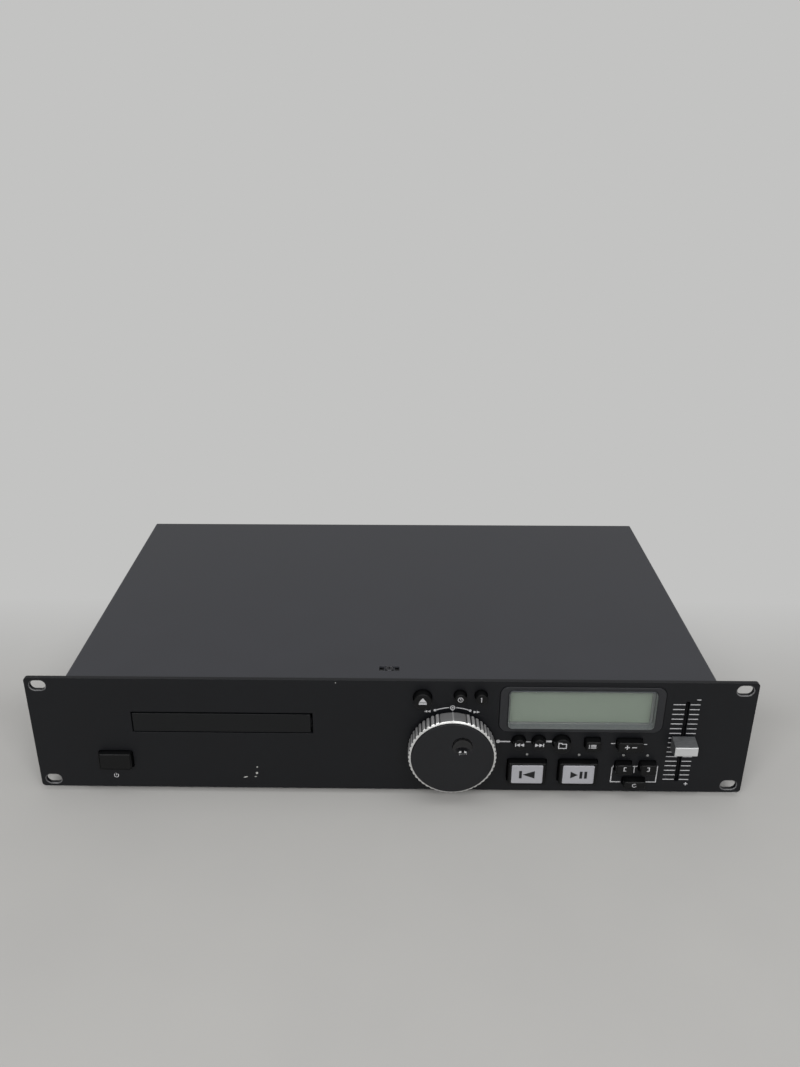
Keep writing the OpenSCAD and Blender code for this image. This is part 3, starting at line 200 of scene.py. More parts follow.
# Filled polyester: black, with a slightly rough skin
inlet_plastic = finish("black_thermoplastic_polyester", "#26272a", "#1c1c1f", 0.7, 0.46, 0.015)
inlet = softened("mains_socket", "mains_inlet", 0.3, inlet_plastic)
blades_at = ((0.178, -0.014), (0.185, -0.010), (0.192, -0.014))
blade_half_wide, blade_half_high, blade_root, blade_tip = 0.0012, 0.0022, 0.2435, 0.2545
second_finish(inlet, nickel, lambda at, normal: blade_root < at.y < blade_tip and any(
    abs(at.x - x) < blade_half_wide and abs(at.z - z) < blade_half_high for x, z in blades_at))

jacks = softened("audio_jacks", "rca_jacks", 0.15, nickel)
jack_z, flange_r, shell_r, insulator_r, contact_r = -0.012, 0.0075, 0.0043, 0.0032, 0.0012
# Moulded ABS: the ring round each shell and the insulator in it have one plain satin colour
ring_tones = {-0.150: ("#d9d8d4", "#c9c8c3"), -0.132: ("#b3282b", "#9a1f23"), -0.096: ("#2a2a2d", "#202022")}
for number, (jack_x, (light, dark)) in enumerate(ring_tones.items(), 1):
    ring_abs = finish(f"moulded_abs_ring_{number}", light, dark, 0.6, 0.4, 0.008)
    second_finish(jacks, ring_abs, lambda at, normal: (
        shell_r < from_axis(at, jack_x, jack_z) < flange_r
        or contact_r < from_axis(at, jack_x, jack_z) < insulator_r))
softened("remote_start_jack", "remote_jack", 0.2, inlet_plastic)


# Loader and traverse: black moulded frame, pale acetal gears, a rubber belt and steel-cased motors.
# The deck with the turntable and the pickup hangs in it on a rear hinge.
# The tray is seen when it slides out, so its moulded rims are rounded.

# Acetal: milky white with a waxy sheen
acetal = finish("natural_acetal", "#ece9de", "#dfdbcf", 0.7, 0.33, 0.006)
dress(acetal, "clamper", "tray_gear", "motor_pulley", "sled_gear")
# Ground rubber: dull black
belt_rubber = finish("ground_belt_rubber", "#232325", "#161617", 0.5, 0.7, 0.02)
dress(belt_rubber, "drive_belt")
# Drawn steel cans: grey metal with fine level lines
motor_steel = finish("drawn_motor_steel", "#a6a8ab", "#8e9093", 0.4, 0.3, 0.004, metal=1.0, stretch=(1, 1, 8))
dress(motor_steel, "loading_motor", "traverse_motors")
# Ground steel: bright, with fine lines round the rod
rod_steel = finish("ground_steel_rod", "#c4c6c9", "#b0b2b6", 0.3, 0.2, 0.002, metal=1.0, stretch=(1, 6, 1))
dress(rod_steel, "guide_rods", "jog_shaft", "shuttle_clip")
# Moulded ABS: satin black with the mould's fine grain
deck_abs = finish("black_moulded_abs", "#2b2c2f", "#202124", 0.6, 0.5, 0.014)
dress(deck_abs, "loader_frame", "traverse_deck", "turntable", "pickup_sled")
softened("disc_drawer", "disc_tray", 0.4, deck_abs)


# Control board: it stands behind the panel on six brass posts, with a switch behind every button,
# the jog's encoder and the fader's housing on it.

dress(board_green, "control_board")
# Turned brass: yellow metal with a bright fine cut
post_brass = finish("turned_brass", "#c9b26c", "#b39b58", 0.3, 0.28, 0.003, metal=1.0)
dress(post_brass, "board_posts")
# Switch nylon: dark grey, half matt
part_black = finish("black_switch_nylon", "#3a3a3d", "#2c2c2f", 0.5, 0.5, 0.01)
dress(part_black, "tact_switches", "jog_encoder", "fader_body", "fader_lever", "power_switch")


# Front panel: 3 mm plate, punched for every control and painted satin black after punching.
# The bevels round the four rack slots are rubbed by rack screws and catch the light, and their grey is painted
# in for both; the paint has a few scuffs.

# Sprayed enamel with a very fine texture: near black, a soft broad sheen, small bright flecks where it is worn
panel_paint = finish("satin_black_enamel", "#0d0f13", "#090a0e", 0.9, 0.5, 0.012, shine=0.3)
chip_mm, chip_from, chip_to = 1.1, 0.14, 0.3
# Each scuff in millimetres: where it is, its half length and half height, and its tilt in degrees
scuffs = ((-99, -35, 2.4, 0.7, 14), (-91, -31.5, 1.6, 1.3, 70), (-90.4, -26.5, 1.0, 1.0, 0),
          (-92, -34.6, 1.5, 0.5, 4), (-35, 42, 0.8, 0.6, 0))
panel_y, scuff_depth = -0.003, 0.002
tree = panel_paint.node_tree
shader = tree.nodes["Principled BSDF"]
place = add(tree, "ShaderNodeTexCoord")
chips = add(tree, "ShaderNodeTexNoise", {"Scale": 1000 / chip_mm, "Detail": 2.0},
            {"Vector": place.outputs["Object"]})
worn = None
for x, z, half_long, half_high, tilt in scuffs:
    patch = add(tree, "ShaderNodeMapping",
                {"vector_type": "TEXTURE", "Location": (x / 1000, panel_y, z / 1000),
                 "Rotation": (0, -math.radians(tilt), 0),
                 "Scale": (half_long / 1000, scuff_depth, half_high / 1000)},
                {"Vector": place.outputs["Object"]})
    near = add(tree, "ShaderNodeTexGradient", {"gradient_type": "SPHERICAL"},
               {"Vector": patch.outputs["Vector"]}).outputs["Fac"]
    worn = near if worn is None else add(tree, "ShaderNodeMath", {"operation": "MAXIMUM"},
                                         {0: worn, 1: near}).outputs[0]
broken = add(tree, "ShaderNodeMath", {"operation": "MULTIPLY"}, {0: worn, 1: chips.outputs["Fac"]})
scuff = add(tree, "ShaderNodeMapRange", {"From Min": chip_from, "From Max": chip_to},
            {"Value": broken.outputs[0]})
bared = add(tree, "ShaderNodeMix", {"data_type": "RGBA", 7: linear("#b9b9b6")},
            {0: scuff.outputs[0], 6: shader.inputs["Base Color"].links[0].from_socket})
tree.links.new(bared.outputs[2], shader.inputs["Base Color"])

# Round the slots: grey breaking through black, drawn coarser than it is; it stands for paint rubbed thin and
# for painted highlight where the bevels catch the light
worn_and_lit_slot_edge = finish("rubbed_enamel_and_painted_highlight", "#78787a", "#0c0c0e", 3.2, 0.45, 0.01)
slot_x, slot_half, slot_z = 0.23255, 0.0017, 0.0381
bevel_in, bevel_out, bevel_rear = 0.0036, 0.0046, -0.002
bevel_flat, bevel_steep = -0.97, -0.3


def on_slot_bevel(at, normal):
    """True on the slanted rim of a rack slot, on the panel's front"""
    along = max(abs(abs(at.x) - slot_x) - slot_half, 0)
    out = math.hypot(along, abs(at.z) - slot_z)
    return bevel_in < out < bevel_out and at.y < bevel_rear and bevel_flat < normal.y < bevel_steep


panel = softened("painted_panel", "front_panel", 0.25, panel_paint)
# The slot bevels get the grey of rubbed paint and painted highlight
second_finish(panel, worn_and_lit_slot_edge, on_slot_bevel)


# Print: silver ink screened on the panel, about 0.03 mm proud.
# It marks the shuttle's arc, the fader's scale, the loop bracket and the links between keys.

def bar(x0, z0, x1, z1, wide):
    """Outline of a straight line of ink, in millimetres"""
    run = math.hypot(x1 - x0, z1 - z0)
    dx, dz = (z1 - z0) / run * wide / 2, (x1 - x0) / run * wide / 2
    return [(x0 - dx, z0 + dz), (x0 + dx, z0 - dz), (x1 + dx, z1 - dz), (x1 - dx, z1 + dz)]


def spot(x, z, radius, start=0.0, turn=360.0):
    """Outline of a dot, or points along part of its edge"""
    steps = 32
    angles = [math.radians(start + turn * i / steps) for i in range(steps + (turn < 360))]
    return [(x + radius * math.cos(angle), z + radius * math.sin(angle)) for angle in angles]


def bow(x, z, radius, wide, start, turn):
    """Outline of a curved line of ink"""
    return spot(x, z, radius + wide / 2, start, turn) + spot(x, z, radius - wide / 2, start, turn)[::-1]


def arrow(x, z, long, high):
    """Outline of a triangle that points along +X, or along -X where long is negative"""
    return [(x - long / 2, z - high / 2), (x - long / 2, z + high / 2), (x + long / 2, z)]


def printed(name, shapes, y, ink, body):
    """Flat ink on a surface at that y: each shape is a list of outlines, an inner one being a hole"""
    ink_depth = 0.00003
    parts = []
    for outlines in shapes:
        curve = bpy.data.curves.new(name, "CURVE")
        curve.dimensions = "2D"
        curve.fill_mode = "BOTH"
        curve.extrude = ink_depth
        for outline in outlines:
            line = curve.splines.new("POLY")
            line.points.add(len(outline) - 1)
            line.use_cyclic_u = True
            for point, (px, pz) in zip(line.points, outline):
                point.co = (px / 1000, pz / 1000, 0, 1)
        parts.append(bpy.data.objects.new(name, curve))
        bpy.context.scene.collection.objects.link(parts[-1])
    bpy.ops.object.select_all(action="DESELECT")
    for part in parts:
        part.select_set(True)
    bpy.context.view_layer.objects.active = parts[0]
    bpy.ops.object.convert(target="MESH")
    if len(parts) > 1:
        bpy.ops.object.join()
    piece = bpy.context.view_layer.objects.active
    piece.rotation_euler = (math.pi / 2, 0, 0)
    piece.location = (0, y, 0)
    bpy.ops.object.transform_apply(location=True, rotation=True, scale=True)
    piece.name = name
    piece.data.materials.clear()
    piece.data.materials.append(ink)
    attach(piece, body)
    return piece


# Silver screen ink: pale grey, matt, thin enough to let a little black through
silver_ink = finish("silver_screen_ink", "#c6c6c8", "#aeaeb1", 0.5, 0.55, 0.004)
# The arc over the shuttle, its middle ring and the double arrows at its ends
jog_x, jog_z = 42.1, -7.6
arc_r, arc_wide, arc_turn, middle_z = 31.1, 0.7, 16.2, 23.4
scale_marks = [[bow(jog_x, jog_z, arc_r, arc_wide, 94.4, arc_turn)],
               [bow(jog_x, jog_z, arc_r, arc_wide, 85.6, -arc_turn)],
               [spot(30.4, 21.3, 0.95)], [spot(53.7, 21.2, 0.95)],
               [spot(jog_x, middle_z, 1.75), spot(jog_x, middle_z, 1.15)], [spot(jog_x, middle_z, 0.6)],
               [[(jog_x - 0.9, 21.55), (jog_x + 0.9, 21.55), (jog_x, 20.65)]],
               [arrow(26.5, 20.4, -2.1, 1.9)], [arrow(24.3, 20.4, -2.1, 1.9)],
               [arrow(57.1, 20.1, 2.1, 1.9)], [arrow(59.3, 20.1, 2.1, 1.9)]]
# Short lines that tie the row of keys under the display together
link_marks = [[spot(73.4, -3.3, 1.35)], [bar(74.6, -3.4, 81.6, -3.4, 0.9)],
              [bar(92.2, -3.5, 95.2, -3.5, 0.7)], [bar(105.7, -3.0, 109.4, -3.0, 1.4)],
              [bar(149.1, -4.2, 152.2, -4.2, 0.6)], [bar(170.4, -4.8, 173.4, -4.8, 0.6)]]
# The bracket round the loop keys: its left side, its right side and the tee between the keys
loop_marks = [[[(152.9, -22.3), (152.3, -22.6), (151.5, -24.2), (151.5, -36.4), (158.6, -36.4),
                (158.6, -35.7), (152.2, -35.7), (152.2, -24.4), (152.9, -23.1)]],
              [[(182.2, -22.6), (182.2, -35.6), (175.8, -35.6), (175.8, -36.3), (182.9, -36.3),
                (182.9, -22.3)]],
              [[(165.2, -22.6), (165.2, -23.2), (166.7, -23.2), (166.7, -28.3), (167.3, -28.3),
                (167.3, -23.2), (169.1, -23.2), (169.1, -22.6)]]]
# The fader's ticks on both sides of its slot, with a minus over them and a plus under them
tick_top, tick_pitch, tick_wide = 27.2, 3.794, 0.62
fader_marks = []
for step in range(17):
    tick_z = tick_top - tick_pitch * step
    fader_marks += [[bar(187.1, tick_z, 194.8, tick_z, tick_wide)],
                    [bar(198.2, tick_z, 204.6, tick_z, tick_wide)]]
fader_marks += [[bar(202.0, 31.0, 204.6, 31.0, 0.7)], [bar(201.9, -37.2, 204.5, -37.2, 0.7)],
                [bar(203.2, -35.9, 203.2, -36.8, 0.7)], [bar(203.2, -37.6, 203.2, -38.5, 0.7)]]
power_marks = [[bow(-188.5, -34.6, 1.5, 0.5, 125, 290)], [bar(-188.5, -34.4, -188.5, -32.6, 0.5)]]
printed("panel_print", scale_marks + link_marks + loop_marks + fader_marks + power_marks,
        panel_y, silver_ink, "case")


# Display: black moulded bezel in the panel's cut-out, a raised clear window in it,
# and behind that the light grey holder with the unlit display glass.

# Moulded ABS: charcoal, with a soft sheen on its rounded rim
bezel_abs = finish("charcoal_moulded_abs", "#252629", "#1d1e21", 0.7, 0.46, 0.01, shine=0.4)
softened("display_surround", "display_bezel", 0.35, bezel_abs)
# Cast acrylic, 2 mm proud: clear, with one sharp reflection; its cut sides are painted grey, as painted shade
# for what shows through them
clear_acrylic = finish("clear_acrylic", "#c4cac6", "#bcc3be", 4.0, 0.1, 0.0)
clear_acrylic.node_tree.nodes["Principled BSDF"].inputs["Alpha"].default_value = 0.09
acrylic_side_painted_shade = finish("acrylic_side_painted_shade", "#606466", "#54585a", 1.5, 0.4, 0.002)
window = softened("clear_window", "display_window", 0.5, clear_acrylic)
side_tilt, side_front = 0.4, -0.0044
# The cut sides get the painted shade
second_finish(window, acrylic_side_painted_shade, lambda at, normal: abs(normal.y) < side_tilt and at.y > side_front)
# Light grey ABS: plain and matt
holder_abs = finish("light_grey_abs", "#7d8280", "#717674", 0.8, 0.5, 0.008)
dress(holder_abs, "lcd_holder")
# Display glass with its polariser: a flat greenish grey, almost without grain
lcd_film = finish("unlit_display_glass", "#728070", "#6f7d6d", 6.0, 0.42, 0.002)
softened("display_glass", "lcd_glass", 0.2, lcd_film)


# Indicators: four small lenses of water-clear epoxy, pressed through the panel over their keys.
# Unlit, they show as dull grey beads.

lens_epoxy = finish("water_clear_epoxy", "#8d8e8c", "#6f7070", 0.8, 0.2, 0.0)
softened("indicator_lenses", "status_leds", 0.25, lens_epoxy)


# Keys: black moulded caps that slide in the panel and press a switch behind it.
# Each has a broken edge and, but for the power key, a silver symbol on its face.

# Moulded ABS with a fine spark-eroded grain: black, a soft sheen on the rounded edges
key_abs = finish("satin_black_abs", "#0a0b0c", "#070708", 0.6, 0.42, 0.01, shine=0.24)
# The symbols' outlines in millimetres, as on the panel
key_marks = {
    "eject": [[[(19.5, 31.0), (24.7, 31.0), (22.1, 34.3)]], [bar(19.5, 29.9, 24.7, 29.9, 1.2)]],
    "time": [[spot(46.7, 33.2, 1.8), spot(46.7, 33.2, 1.4)],
             [[(46.5, 34.2), (46.9, 34.2), (46.9, 33.4), (47.6, 33.4), (47.6, 33.0), (46.5, 33.0)]]],
    "single": [[[(59.9, 34.8), (60.7, 35.1), (60.7, 31.4), (60.2, 31.4), (60.2, 34.3), (59.7, 34.1)]]],
    "track_back": [[bar(84.5, -3.4, 84.5, -0.8, 0.6)], [arrow(86.1, -2.1, -2.6, 2.7)],
                   [arrow(88.8, -2.1, -2.6, 2.7)]],
    "track_forward": [[arrow(98.8, -2.2, 2.6, 2.7)], [arrow(101.5, -2.2, 2.6, 2.7)],
                      [bar(103.1, -3.5, 103.1, -0.9, 0.6)]],
    "folder": [[[(112.9, -4.8), (118.6, -4.8), (118.6, -0.8), (115.8, -0.8), (115.1, -0.1), (112.9, -0.1)],
                [(113.5, -4.2), (118.0, -4.2), (118.0, -1.4), (115.5, -1.4), (114.8, -0.7), (113.5, -0.7)]]],
    "program": [[bar(x0, z, x1, z, 0.6)] for z in (-1.8, -2.9, -4.0)
                for x0, x1 in ((133.3, 133.9), (134.6, 138.2))],
    "pitch": [[bar(157.2, -3.4, 160.4, -3.4, 0.7)], [bar(158.8, -1.8, 158.8, -3.05, 0.7)],
              [bar(158.8, -3.75, 158.8, -5.0, 0.7)], [bar(162.0, -3.4, 165.2, -3.4, 0.7)]],
    "loop_in": [[[(160.0, -19.6), (158.2, -19.6), (158.2, -22.9), (160.0, -22.9), (160.0, -22.4),
                  (158.8, -22.4), (158.8, -20.1), (160.0, -20.1)]]],
    "loop_out": [[[(173.9, -19.6), (175.7, -19.6), (175.7, -22.9), (173.9, -22.9), (173.9, -22.4),
                   (175.1, -22.4), (175.1, -20.1), (173.9, -20.1)]]],
    "reloop": [[bow(166.8, -34.8, 1.3, 0.45, 60, 280)], [[(166.8, -33.1), (166.8, -34.4), (168.1, -33.6)]]],
}
for key in key_marks:
    softened(key + "_key", key + "_button", 0.3, key_abs)
softened("power_key", "power_button", 0.5, key_abs)
for key, shapes in key_marks.items():
    node = key + "_button"
    printed(key + "_mark", shapes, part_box(node)[0].y, silver_ink, body_of[node])


# Deck keys: two large black keys, each with a light grey cap let into its face.
# The caps are translucent ABS, paler than anything else on the panel, with a black symbol.

cap_abs = finish("light_grey_translucent_abs", "#a8a8ad", "#9c9ca1", 0.8, 0.42, 0.008)
# Black screen ink: dense, with a low sheen
black_ink = finish("black_screen_ink", "#19191b", "#111113", 0.4, 0.5, 0.003, shine=0.3)
for key in ("cue", "play"):
    softened(key + "_key", key + "_button", 0.4, key_abs)
    softened(key + "_face", key + "_cap", 0.5, cap_abs)
cap_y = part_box("cue_cap")[0].y
printed("cue_mark", [[bar(89.2, -29.8, 89.2, -23.6, 1.9)], [arrow(94.7, -26.7, -8.2, 6.2)]], cap_y, black_ink,
        "cue")
printed("play_mark", [[arrow(125.4, -26.6, 5.0, 5.6)], [bar(130.0, -29.5, 130.0, -23.7, 1.9)],
                      [bar(133.2, -29.5, 133.2, -23.7, 1.9)]], cap_y, black_ink, "play")


# Shuttle ring and jog disc: the ring is moulded with ribs and painted silver.
# Its front edge is turned bright, to a slight cone.
# The disc inside it is black moulded plastic with a finger dimple, on a steel shaft.

# Silver lacquer over ribs: bright on the crests, with painted shade in the valleys between them
ring_lacquer = finish("silver_lacquer", "#c4c4c4", "#b1b1b2", 0.5, 0.36, 0.006, metal=0.55)
axis_x, axis_z = jog_x / 1000, jog_z / 1000
rib_root, rib_crest = 0.0287, 0.0292
tree = ring_lacquer.node_tree
shader = tree.nodes["Principled BSDF"]
place = add(tree, "ShaderNodeTexCoord")
level = add(tree, "ShaderNodeMapping", {"Location": (-axis_x, 0, -axis_z), "Scale": (1, 0, 1)},
            {"Vector": place.outputs["Object"]})
radius = add(tree, "ShaderNodeVectorMath", {"operation": "LENGTH"}, {0: level.outputs["Vector"]})
crest = add(tree, "ShaderNodeMapRange", {"From Min": rib_root, "From Max": rib_crest},
            {"Value": radius.outputs["Value"]})
# Painted shade: the valleys between the ribs are drawn dark grey, by their distance from the axis
rib_valley_shade = add(tree, "ShaderNodeMix", {"data_type": "RGBA", 6: linear("#3a3a3c")},
             {0: crest.outputs[0], 7: shader.inputs["Base Color"].links[0].from_socket})
tree.links.new(rib_valley_shade.outputs[2], shader.inputs["Base Color"])
ring = softened("ribbed_ring", "shuttle_ring", 0.15, ring_lacquer)
ring_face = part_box("shuttle_ring")[0].y
# The front edge's points slope back from this radius outwards
cone_in, cone_slope, cone_band = 0.0276, 0.36, 0.0006
bpy.ops.object.mode_set(mode="EDIT")
bpy.ops.mesh.customdata_custom_splitnormals_clear()
bpy.ops.mesh.select_all(action="SELECT")
bpy.ops.mesh.quads_convert_to_tris()
bpy.ops.object.mode_set(mode="OBJECT")
for point in ring.data.vertices:
    out = from_axis(point.co, axis_x, axis_z)
    if out > cone_in and point.co.y < ring_face + cone_band:
        point.co.y += (out - cone_in) * cone_slope
ring.data.update()
bpy.ops.object.shade_smooth_by_angle(angle=math.radians(38))
# Diamond-turned edge: bright bare metal with fine turning lines, whose lower side mirrors the shade below
turned_edge = finish("diamond_turned_aluminium", "#e4e4e3", "#d6d6d5", 0.3, 0.38, 0.002, metal=0.7)
edge_in, edge_band, edge_tilt = 0.0272, 0.0022, -0.3
second_finish(ring, turned_edge, lambda at, normal: (
    from_axis(at, axis_x, axis_z) > edge_in and at.y < ring_face + edge_band and normal.y < edge_tilt))

# Moulded ABS: charcoal, satin, with the mould's grain; the dimple is polished by fingers
disc_abs = finish("satin_charcoal_abs", "#18191c", "#121316", 0.7, 0.45, 0.01, shine=0.33)
dimple_abs = finish("polished_dimple_abs", "#121214", "#0e0e10", 1.2, 0.1, 0.0, shine=0.5)
disc = softened("jog_wheel", "jog_disc", 0.3, disc_abs)
disc_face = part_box("jog_disc")[0].y
dimple_x, dimple_z, dimple_r, dimple_lip, dimple_floor = 0.0484, 0.0026, 0.0069, 0.00005, 0.0045
second_finish(disc, dimple_abs, lambda at, normal: (
    from_axis(at, dimple_x, dimple_z) < dimple_r and dimple_lip < at.y - disc_face < dimple_floor))


# Pitch fader: a silver-lacquered moulded cap pushed on the lever that comes through the panel's slot.
# Its front face is bright; its slopes are brushed along their length and painted darker, as painted shade.

cap_lacquer = finish("fine_silver_lacquer", "#c3c4c4", "#b8b9b9", 0.4, 0.4, 0.006, metal=0.2)
# Painted shade: the same silver lacquer drawn darker on every face that turns away from the front
slope_lacquer_painted_shade = finish("brushed_lacquer_with_painted_shade", "#77797a", "#585a5c", 0.5, 0.36, 0.01, metal=0.5,
                       stretch=(0.15, 1, 1))
knob = softened("fader_knob", "fader_cap", 0.3, cap_lacquer)
front_tilt = -0.6
second_finish(knob, slope_lacquer_painted_shade, lambda at, normal: normal.y > front_tilt)


# Tray door: a flat black moulding clipped to the tray's front, flush in the panel.
# It is a shade smoother than the panel's paint.
# The moulding has shrunk, so its gap is widest above it and on its right.

door_abs = finish("black_door_abs", "#0d0f11", "#090a0c", 0.7, 0.44, 0.01, shine=0.28)
door = softened("drawer_front", "tray_door", 0.3, door_abs)
door_top, door_right, rim_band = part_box("tray_door")[1].z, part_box("tray_door")[1].x, 0.001
top_shrink, right_shrink = 0.0005, 0.0008
for point in door.data.vertices:
    if point.co.z > door_top - rim_band:
        point.co.z -= top_shrink
    if point.co.x > door_right - rim_band:
        point.co.x -= right_shrink


# Top cover: one steel sheet bent over the pan and painted after bending.
# It is screwed on from the front, both sides and the rear.

# Textured paint baked on steel: dark grey with a fine orange-peel relief that gives a broad soft sheen
cover_paint = finish("textured_grey_paint", "#34353a", "#2b2c31", 0.8, 0.5, 0.02, shine=0.38)
softened("bent_cover", "top_cover", 0.18, cover_paint)


# Screws: M3 pan heads with a cross recess, black-plated, thirty in all.
# One is modelled and copied to every place that the solids hold.

# Black zinc plate: dark grey metal with a broken shine
plated_black = finish("black_zinc_plate", "#4a4a4d", "#363639", 0.5, 0.34, 0.004, metal=0.8)
head_r, head_h, head_round = 0.0028, 0.0016, 0.0007
recess_size = (0.0032, 0.0006, 0.0018)
shank_r, shank_l = 0.0015, 0.006
bpy.ops.object.select_all(action="DESELECT")
bpy.ops.mesh.primitive_cylinder_add(vertices=32, radius=head_r, depth=head_h, location=(0, 0, -head_h / 2))
screw = bpy.context.view_layer.objects.active
bpy.ops.object.transform_apply(location=True, rotation=True, scale=True)
bpy.ops.object.mode_set(mode="EDIT")
bpy.ops.mesh.select_all(action="DESELECT")
bpy.ops.object.mode_set(mode="OBJECT")
for edge in screw.data.edges:
    edge.select = all(abs(screw.data.vertices[i].co.z) < 0.0001 for i in edge.vertices)
bpy.ops.object.mode_set(mode="EDIT")
bpy.ops.mesh.select_mode(type="EDGE")
bpy.ops.mesh.bevel(offset=head_round, segments=4, affect="EDGES")
bpy.ops.object.mode_set(mode="OBJECT")
for turn in (0, math.pi / 2):
    bpy.ops.object.select_all(action="DESELECT")
    bpy.ops.mesh.primitive_cube_add(size=1, location=(0, 0, 0), rotation=(0, 0, turn))
    blade = bpy.context.view_layer.objects.active
    blade.scale = recess_size
    bpy.ops.object.transform_apply(location=True, rotation=True, scale=True)
    bpy.ops.object.select_all(action="DESELECT")
    bpy.context.view_layer.objects.active = screw
    screw.select_set(True)
    bpy.ops.object.modifier_add(type="BOOLEAN")
    screw.modifiers[-1].object = blade
    screw.modifiers[-1].operation = "DIFFERENCE"
    bpy.ops.object.modifier_apply(modifier=screw.modifiers[-1].name)
    bpy.data.objects.remove(blade)
bpy.ops.object.select_all(action="DESELECT")
bpy.ops.mesh.primitive_cylinder_add(vertices=20, radius=shank_r, depth=shank_l,
                                    location=(0, 0, -head_h - shank_l / 2))
screw.select_set(True)
bpy.context.view_layer.objects.active = screw
bpy.ops.object.join()
bpy.ops.object.shade_smooth_by_angle(angle=math.radians(35))
# The outer end of each head in millimetres, and the way that it faces: first the cover's screws
screw_places = [((0, 13.5, 43.45), "+Z")]
screw_places += [((x, y, -35.05), way) for x, way in ((-216.6, "-X"), (216.6, "+X")) for y in (40, 220)]
screw_places += [((x, 259.6, 37.05), "+Y") for x in (-180, 0, 180)]
# The loader's legs and the feet
screw_places += [((x, y, -42.65), "-Z") for x in (-171, -53) for y in (14, 184)]
screw_places += [((x, y, -44.65), "-Z") for x in (-180, 180) for y in (46, 226)]
# The control board, the main board, the transformer and the inlet
board_screws = ((12, -33), (70, -33), (14, 14), (148.4, -33), (186.5, -33), (186.5, -1))
screw_places += [((x, 12.2, z), "+Y") for x, z in board_screws]
screw_places += [((x, y, -29.65), "+Z") for x in (15, 185) for y in (75, 185)]
screw_places += [((x, 221.4, -43.85), "-Z") for x in (99, 161)]
screw_places += [((x, 260.7, -12), "+Y") for x in (165, 205)]
facing = {"+Z": (0, 0, 0), "-Z": (math.pi, 0, 0), "+Y": (-math.pi / 2, 0, 0), "+X": (0, math.pi / 2, 0),
          "-X": (0, -math.pi / 2, 0)}
copies = []
for head, way in screw_places:
    copy = bpy.data.objects.new("cross_screw", screw.data.copy())
    bpy.context.scene.collection.objects.link(copy)
    copy.rotation_euler = facing[way]
    copy.location = Vector(head) / 1000
    copies.append(copy)
bpy.data.objects.remove(screw)
bpy.ops.object.select_all(action="DESELECT")
for copy in copies:
    copy.select_set(True)
bpy.context.view_layer.objects.active = copies[0]
bpy.ops.object.transform_apply(location=True, rotation=True, scale=True)
bpy.ops.object.join()
screws = bpy.context.view_layer.objects.active
screws.name = "cross_screws"
screws.data.materials.clear()
screws.data.materials.append(plated_black)
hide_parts("case_screws")
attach(screws, body_of["case_screws"])


# Stage: a pale table top that turns into a pale wall behind it, soft light from above, and the camera.
# The wall is only the far part of the same plane, on every side, so nothing stands behind the object.

def seen_rays(tree):
    """1 for the rays that show a background: direct, in gloss or through clear plastic"""
    path = add(tree, "ShaderNodeLightPath")
    shown = add(tree, "ShaderNodeMath", {"operation": "MAXIMUM"},
                {0: path.outputs["Is Camera Ray"], 1: path.outputs["Is Glossy Ray"]})
    passed = add(tree, "ShaderNodeMath", {"operation": "MAXIMUM"},
                 {0: shown.outputs[0], 1: path.outputs["Is Transmission Ray"]})
    return passed.outputs[0]


def soft_light(name, place, aim, wide, high, watts):
    """A lit rectangle that faces a point"""
    lamp = bpy.data.lights.new(name, "AREA")
    lamp.shape = "RECTANGLE"
    lamp.size, lamp.size_y, lamp.energy = wide, high, watts
    lit = bpy.data.objects.new(name, lamp)
    bpy.context.scene.collection.objects.link(lit)
    lit.location = place
    lit.rotation_euler = (Vector(aim) - lit.location).to_track_quat("-Z", "Y").to_euler()


# Matt table paint with faint stains, and the wall's even tone past these distances in metres
rear_from, rear_to, rim_from, rim_to = 0.1, 0.285, 0.7, 1.5
wall_tone = linear("#c3c3c2")
bpy.ops.object.select_all(action="DESELECT")
bpy.ops.mesh.primitive_plane_add(size=60, location=(0, 0, cad_box[0].z))
table = bpy.context.view_layer.objects.active
table.name = "table_top"
bpy.ops.object.transform_apply(location=True, rotation=True, scale=True)
paint = bpy.data.materials.new("pale_table")
paint.use_nodes = True
tree = paint.node_tree
shader = tree.nodes["Principled BSDF"]
shader.inputs["Roughness"].default_value = 0.7
place = add(tree, "ShaderNodeTexCoord")
axes = add(tree, "ShaderNodeSeparateXYZ", None, {"Vector": place.outputs["Object"]})
rear = add(tree, "ShaderNodeMapRange", {"From Min": rear_from, "From Max": rear_to},
           {"Value": axes.outputs["Y"]})
reach = add(tree, "ShaderNodeVectorMath", {"operation": "LENGTH"}, {0: place.outputs["Object"]})
rim = add(tree, "ShaderNodeMapRange", {"From Min": rim_from, "From Max": rim_to},
          {"Value": reach.outputs["Value"]})
far = add(tree, "ShaderNodeMath", {"operation": "MAXIMUM"}, {0: rear.outputs[0], 1: rim.outputs[0]})
stain = add(tree, "ShaderNodeTexNoise", {"Scale": 9.0, "Detail": 4.0}, {"Vector": place.outputs["Object"]})
top = add(tree, "ShaderNodeMix", {"data_type": "RGBA", 6: linear("#b3b2b0"), 7: linear("#bbbab7")},
          {0: stain.outputs["Fac"]})
tree.links.new(top.outputs[2], shader.inputs["Base Color"])
wall = add(tree, "ShaderNodeEmission", {"Color": wall_tone, "Strength": 1.0})
beyond = add(tree, "ShaderNodeMath", {"operation": "MULTIPLY"}, {0: far.outputs[0], 1: seen_rays(tree)})
either = add(tree, "ShaderNodeMixShader", None,
             {0: beyond.outputs[0], 1: shader.outputs["BSDF"], 2: wall.outputs["Emission"]})
tree.links.new(either.outputs[0], tree.nodes["Material Output"].inputs["Surface"])
table.data.materials.append(paint)

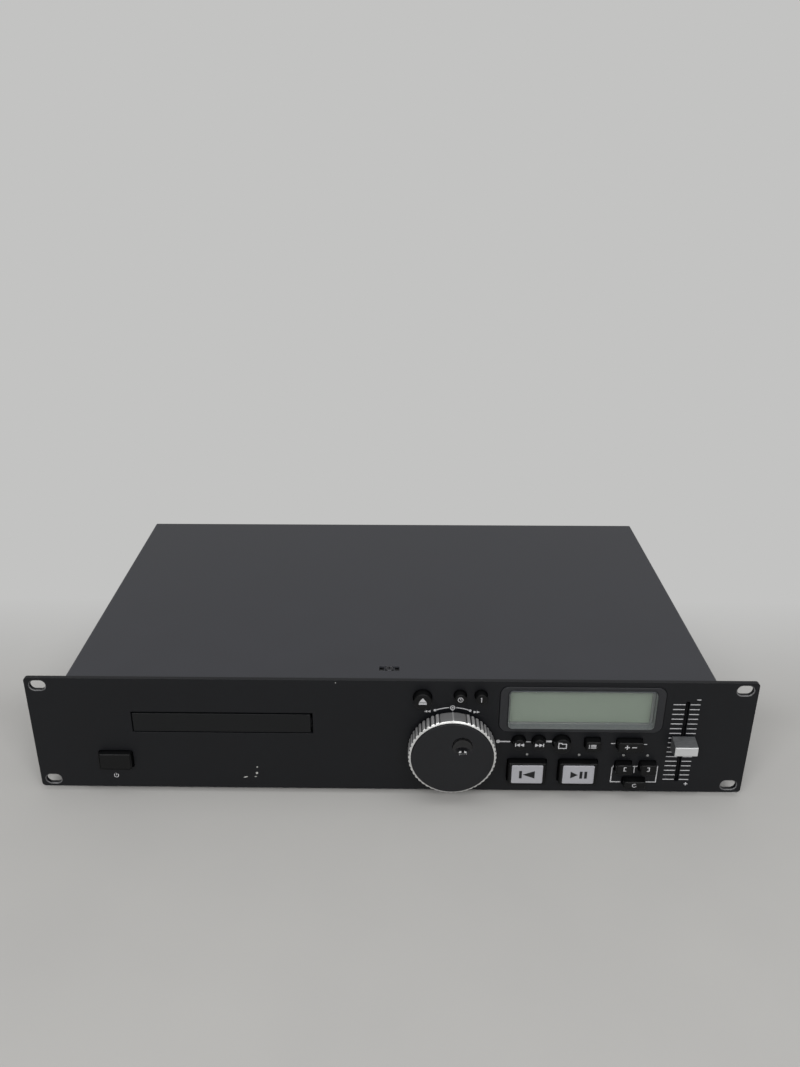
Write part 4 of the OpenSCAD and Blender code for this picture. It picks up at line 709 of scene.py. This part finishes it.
# The room lights the object evenly; its unlit part, in front of the object, shows only in gloss
room_light, unlit_tone = (0.3, 0.3, 0.3, 1.0), linear("#303031")
unlit_from, unlit_to = -0.3, -0.85
room = bpy.data.worlds.new("soft_room")
bpy.context.scene.world = room
room.use_nodes = True
tree = room.node_tree
path = add(tree, "ShaderNodeLightPath")
ray = add(tree, "ShaderNodeTexCoord")
axes = add(tree, "ShaderNodeSeparateXYZ", None, {"Vector": ray.outputs["Generated"]})
front = add(tree, "ShaderNodeMapRange", {"From Min": unlit_from, "From Max": unlit_to},
            {"Value": axes.outputs["Y"]})
unlit = add(tree, "ShaderNodeMath", {"operation": "MULTIPLY"},
            {0: front.outputs[0], 1: path.outputs["Is Glossy Ray"]})
shown = add(tree, "ShaderNodeMix", {"data_type": "RGBA", 6: wall_tone, 7: unlit_tone}, {0: unlit.outputs[0]})
tone = add(tree, "ShaderNodeMix", {"data_type": "RGBA", 6: room_light},
           {0: seen_rays(tree), 7: shown.outputs[2]})
tree.links.new(tone.outputs[2], tree.nodes["Background"].inputs["Color"])

soft_light("overhead_softbox", (0.1, -0.4, 1.9), (0, 0.05, 0), 2.0, 2.0, 13)
# Two window panes far in front light the controls, and show as highlights on curved gloss
for x in (-1.1, 1.0):
    soft_light("window_pane", (x, -2.0, 1.7), (0, 0, 0), 1.0, 0.5, 26)

# The camera's place and turn follow from the panel's corners and slots and the cover's corners
camera_at = (0.00525, -0.52421, 0.37797)
right, down, ahead = ((0.999823, 0.018588, -0.002744), (0.00524, -0.416069, -0.909318),
                      (-0.018045, 0.909143, -0.416093))
lens = bpy.data.cameras.new("photo_camera")
lens.lens = 31.649
lens.sensor_width = 36
lens.shift_x = 0.01793
lens.shift_y = 0.01346
lens.clip_start = 0.01
camera = bpy.data.objects.new("photo_camera", lens)
bpy.context.scene.collection.objects.link(camera)
turned = Matrix((right, [-c for c in down], [-c for c in ahead])).transposed().to_4x4()
camera.matrix_world = Matrix.Translation(camera_at) @ turned
bpy.context.scene.camera = camera
bpy.context.scene.view_settings.view_transform = "Standard"
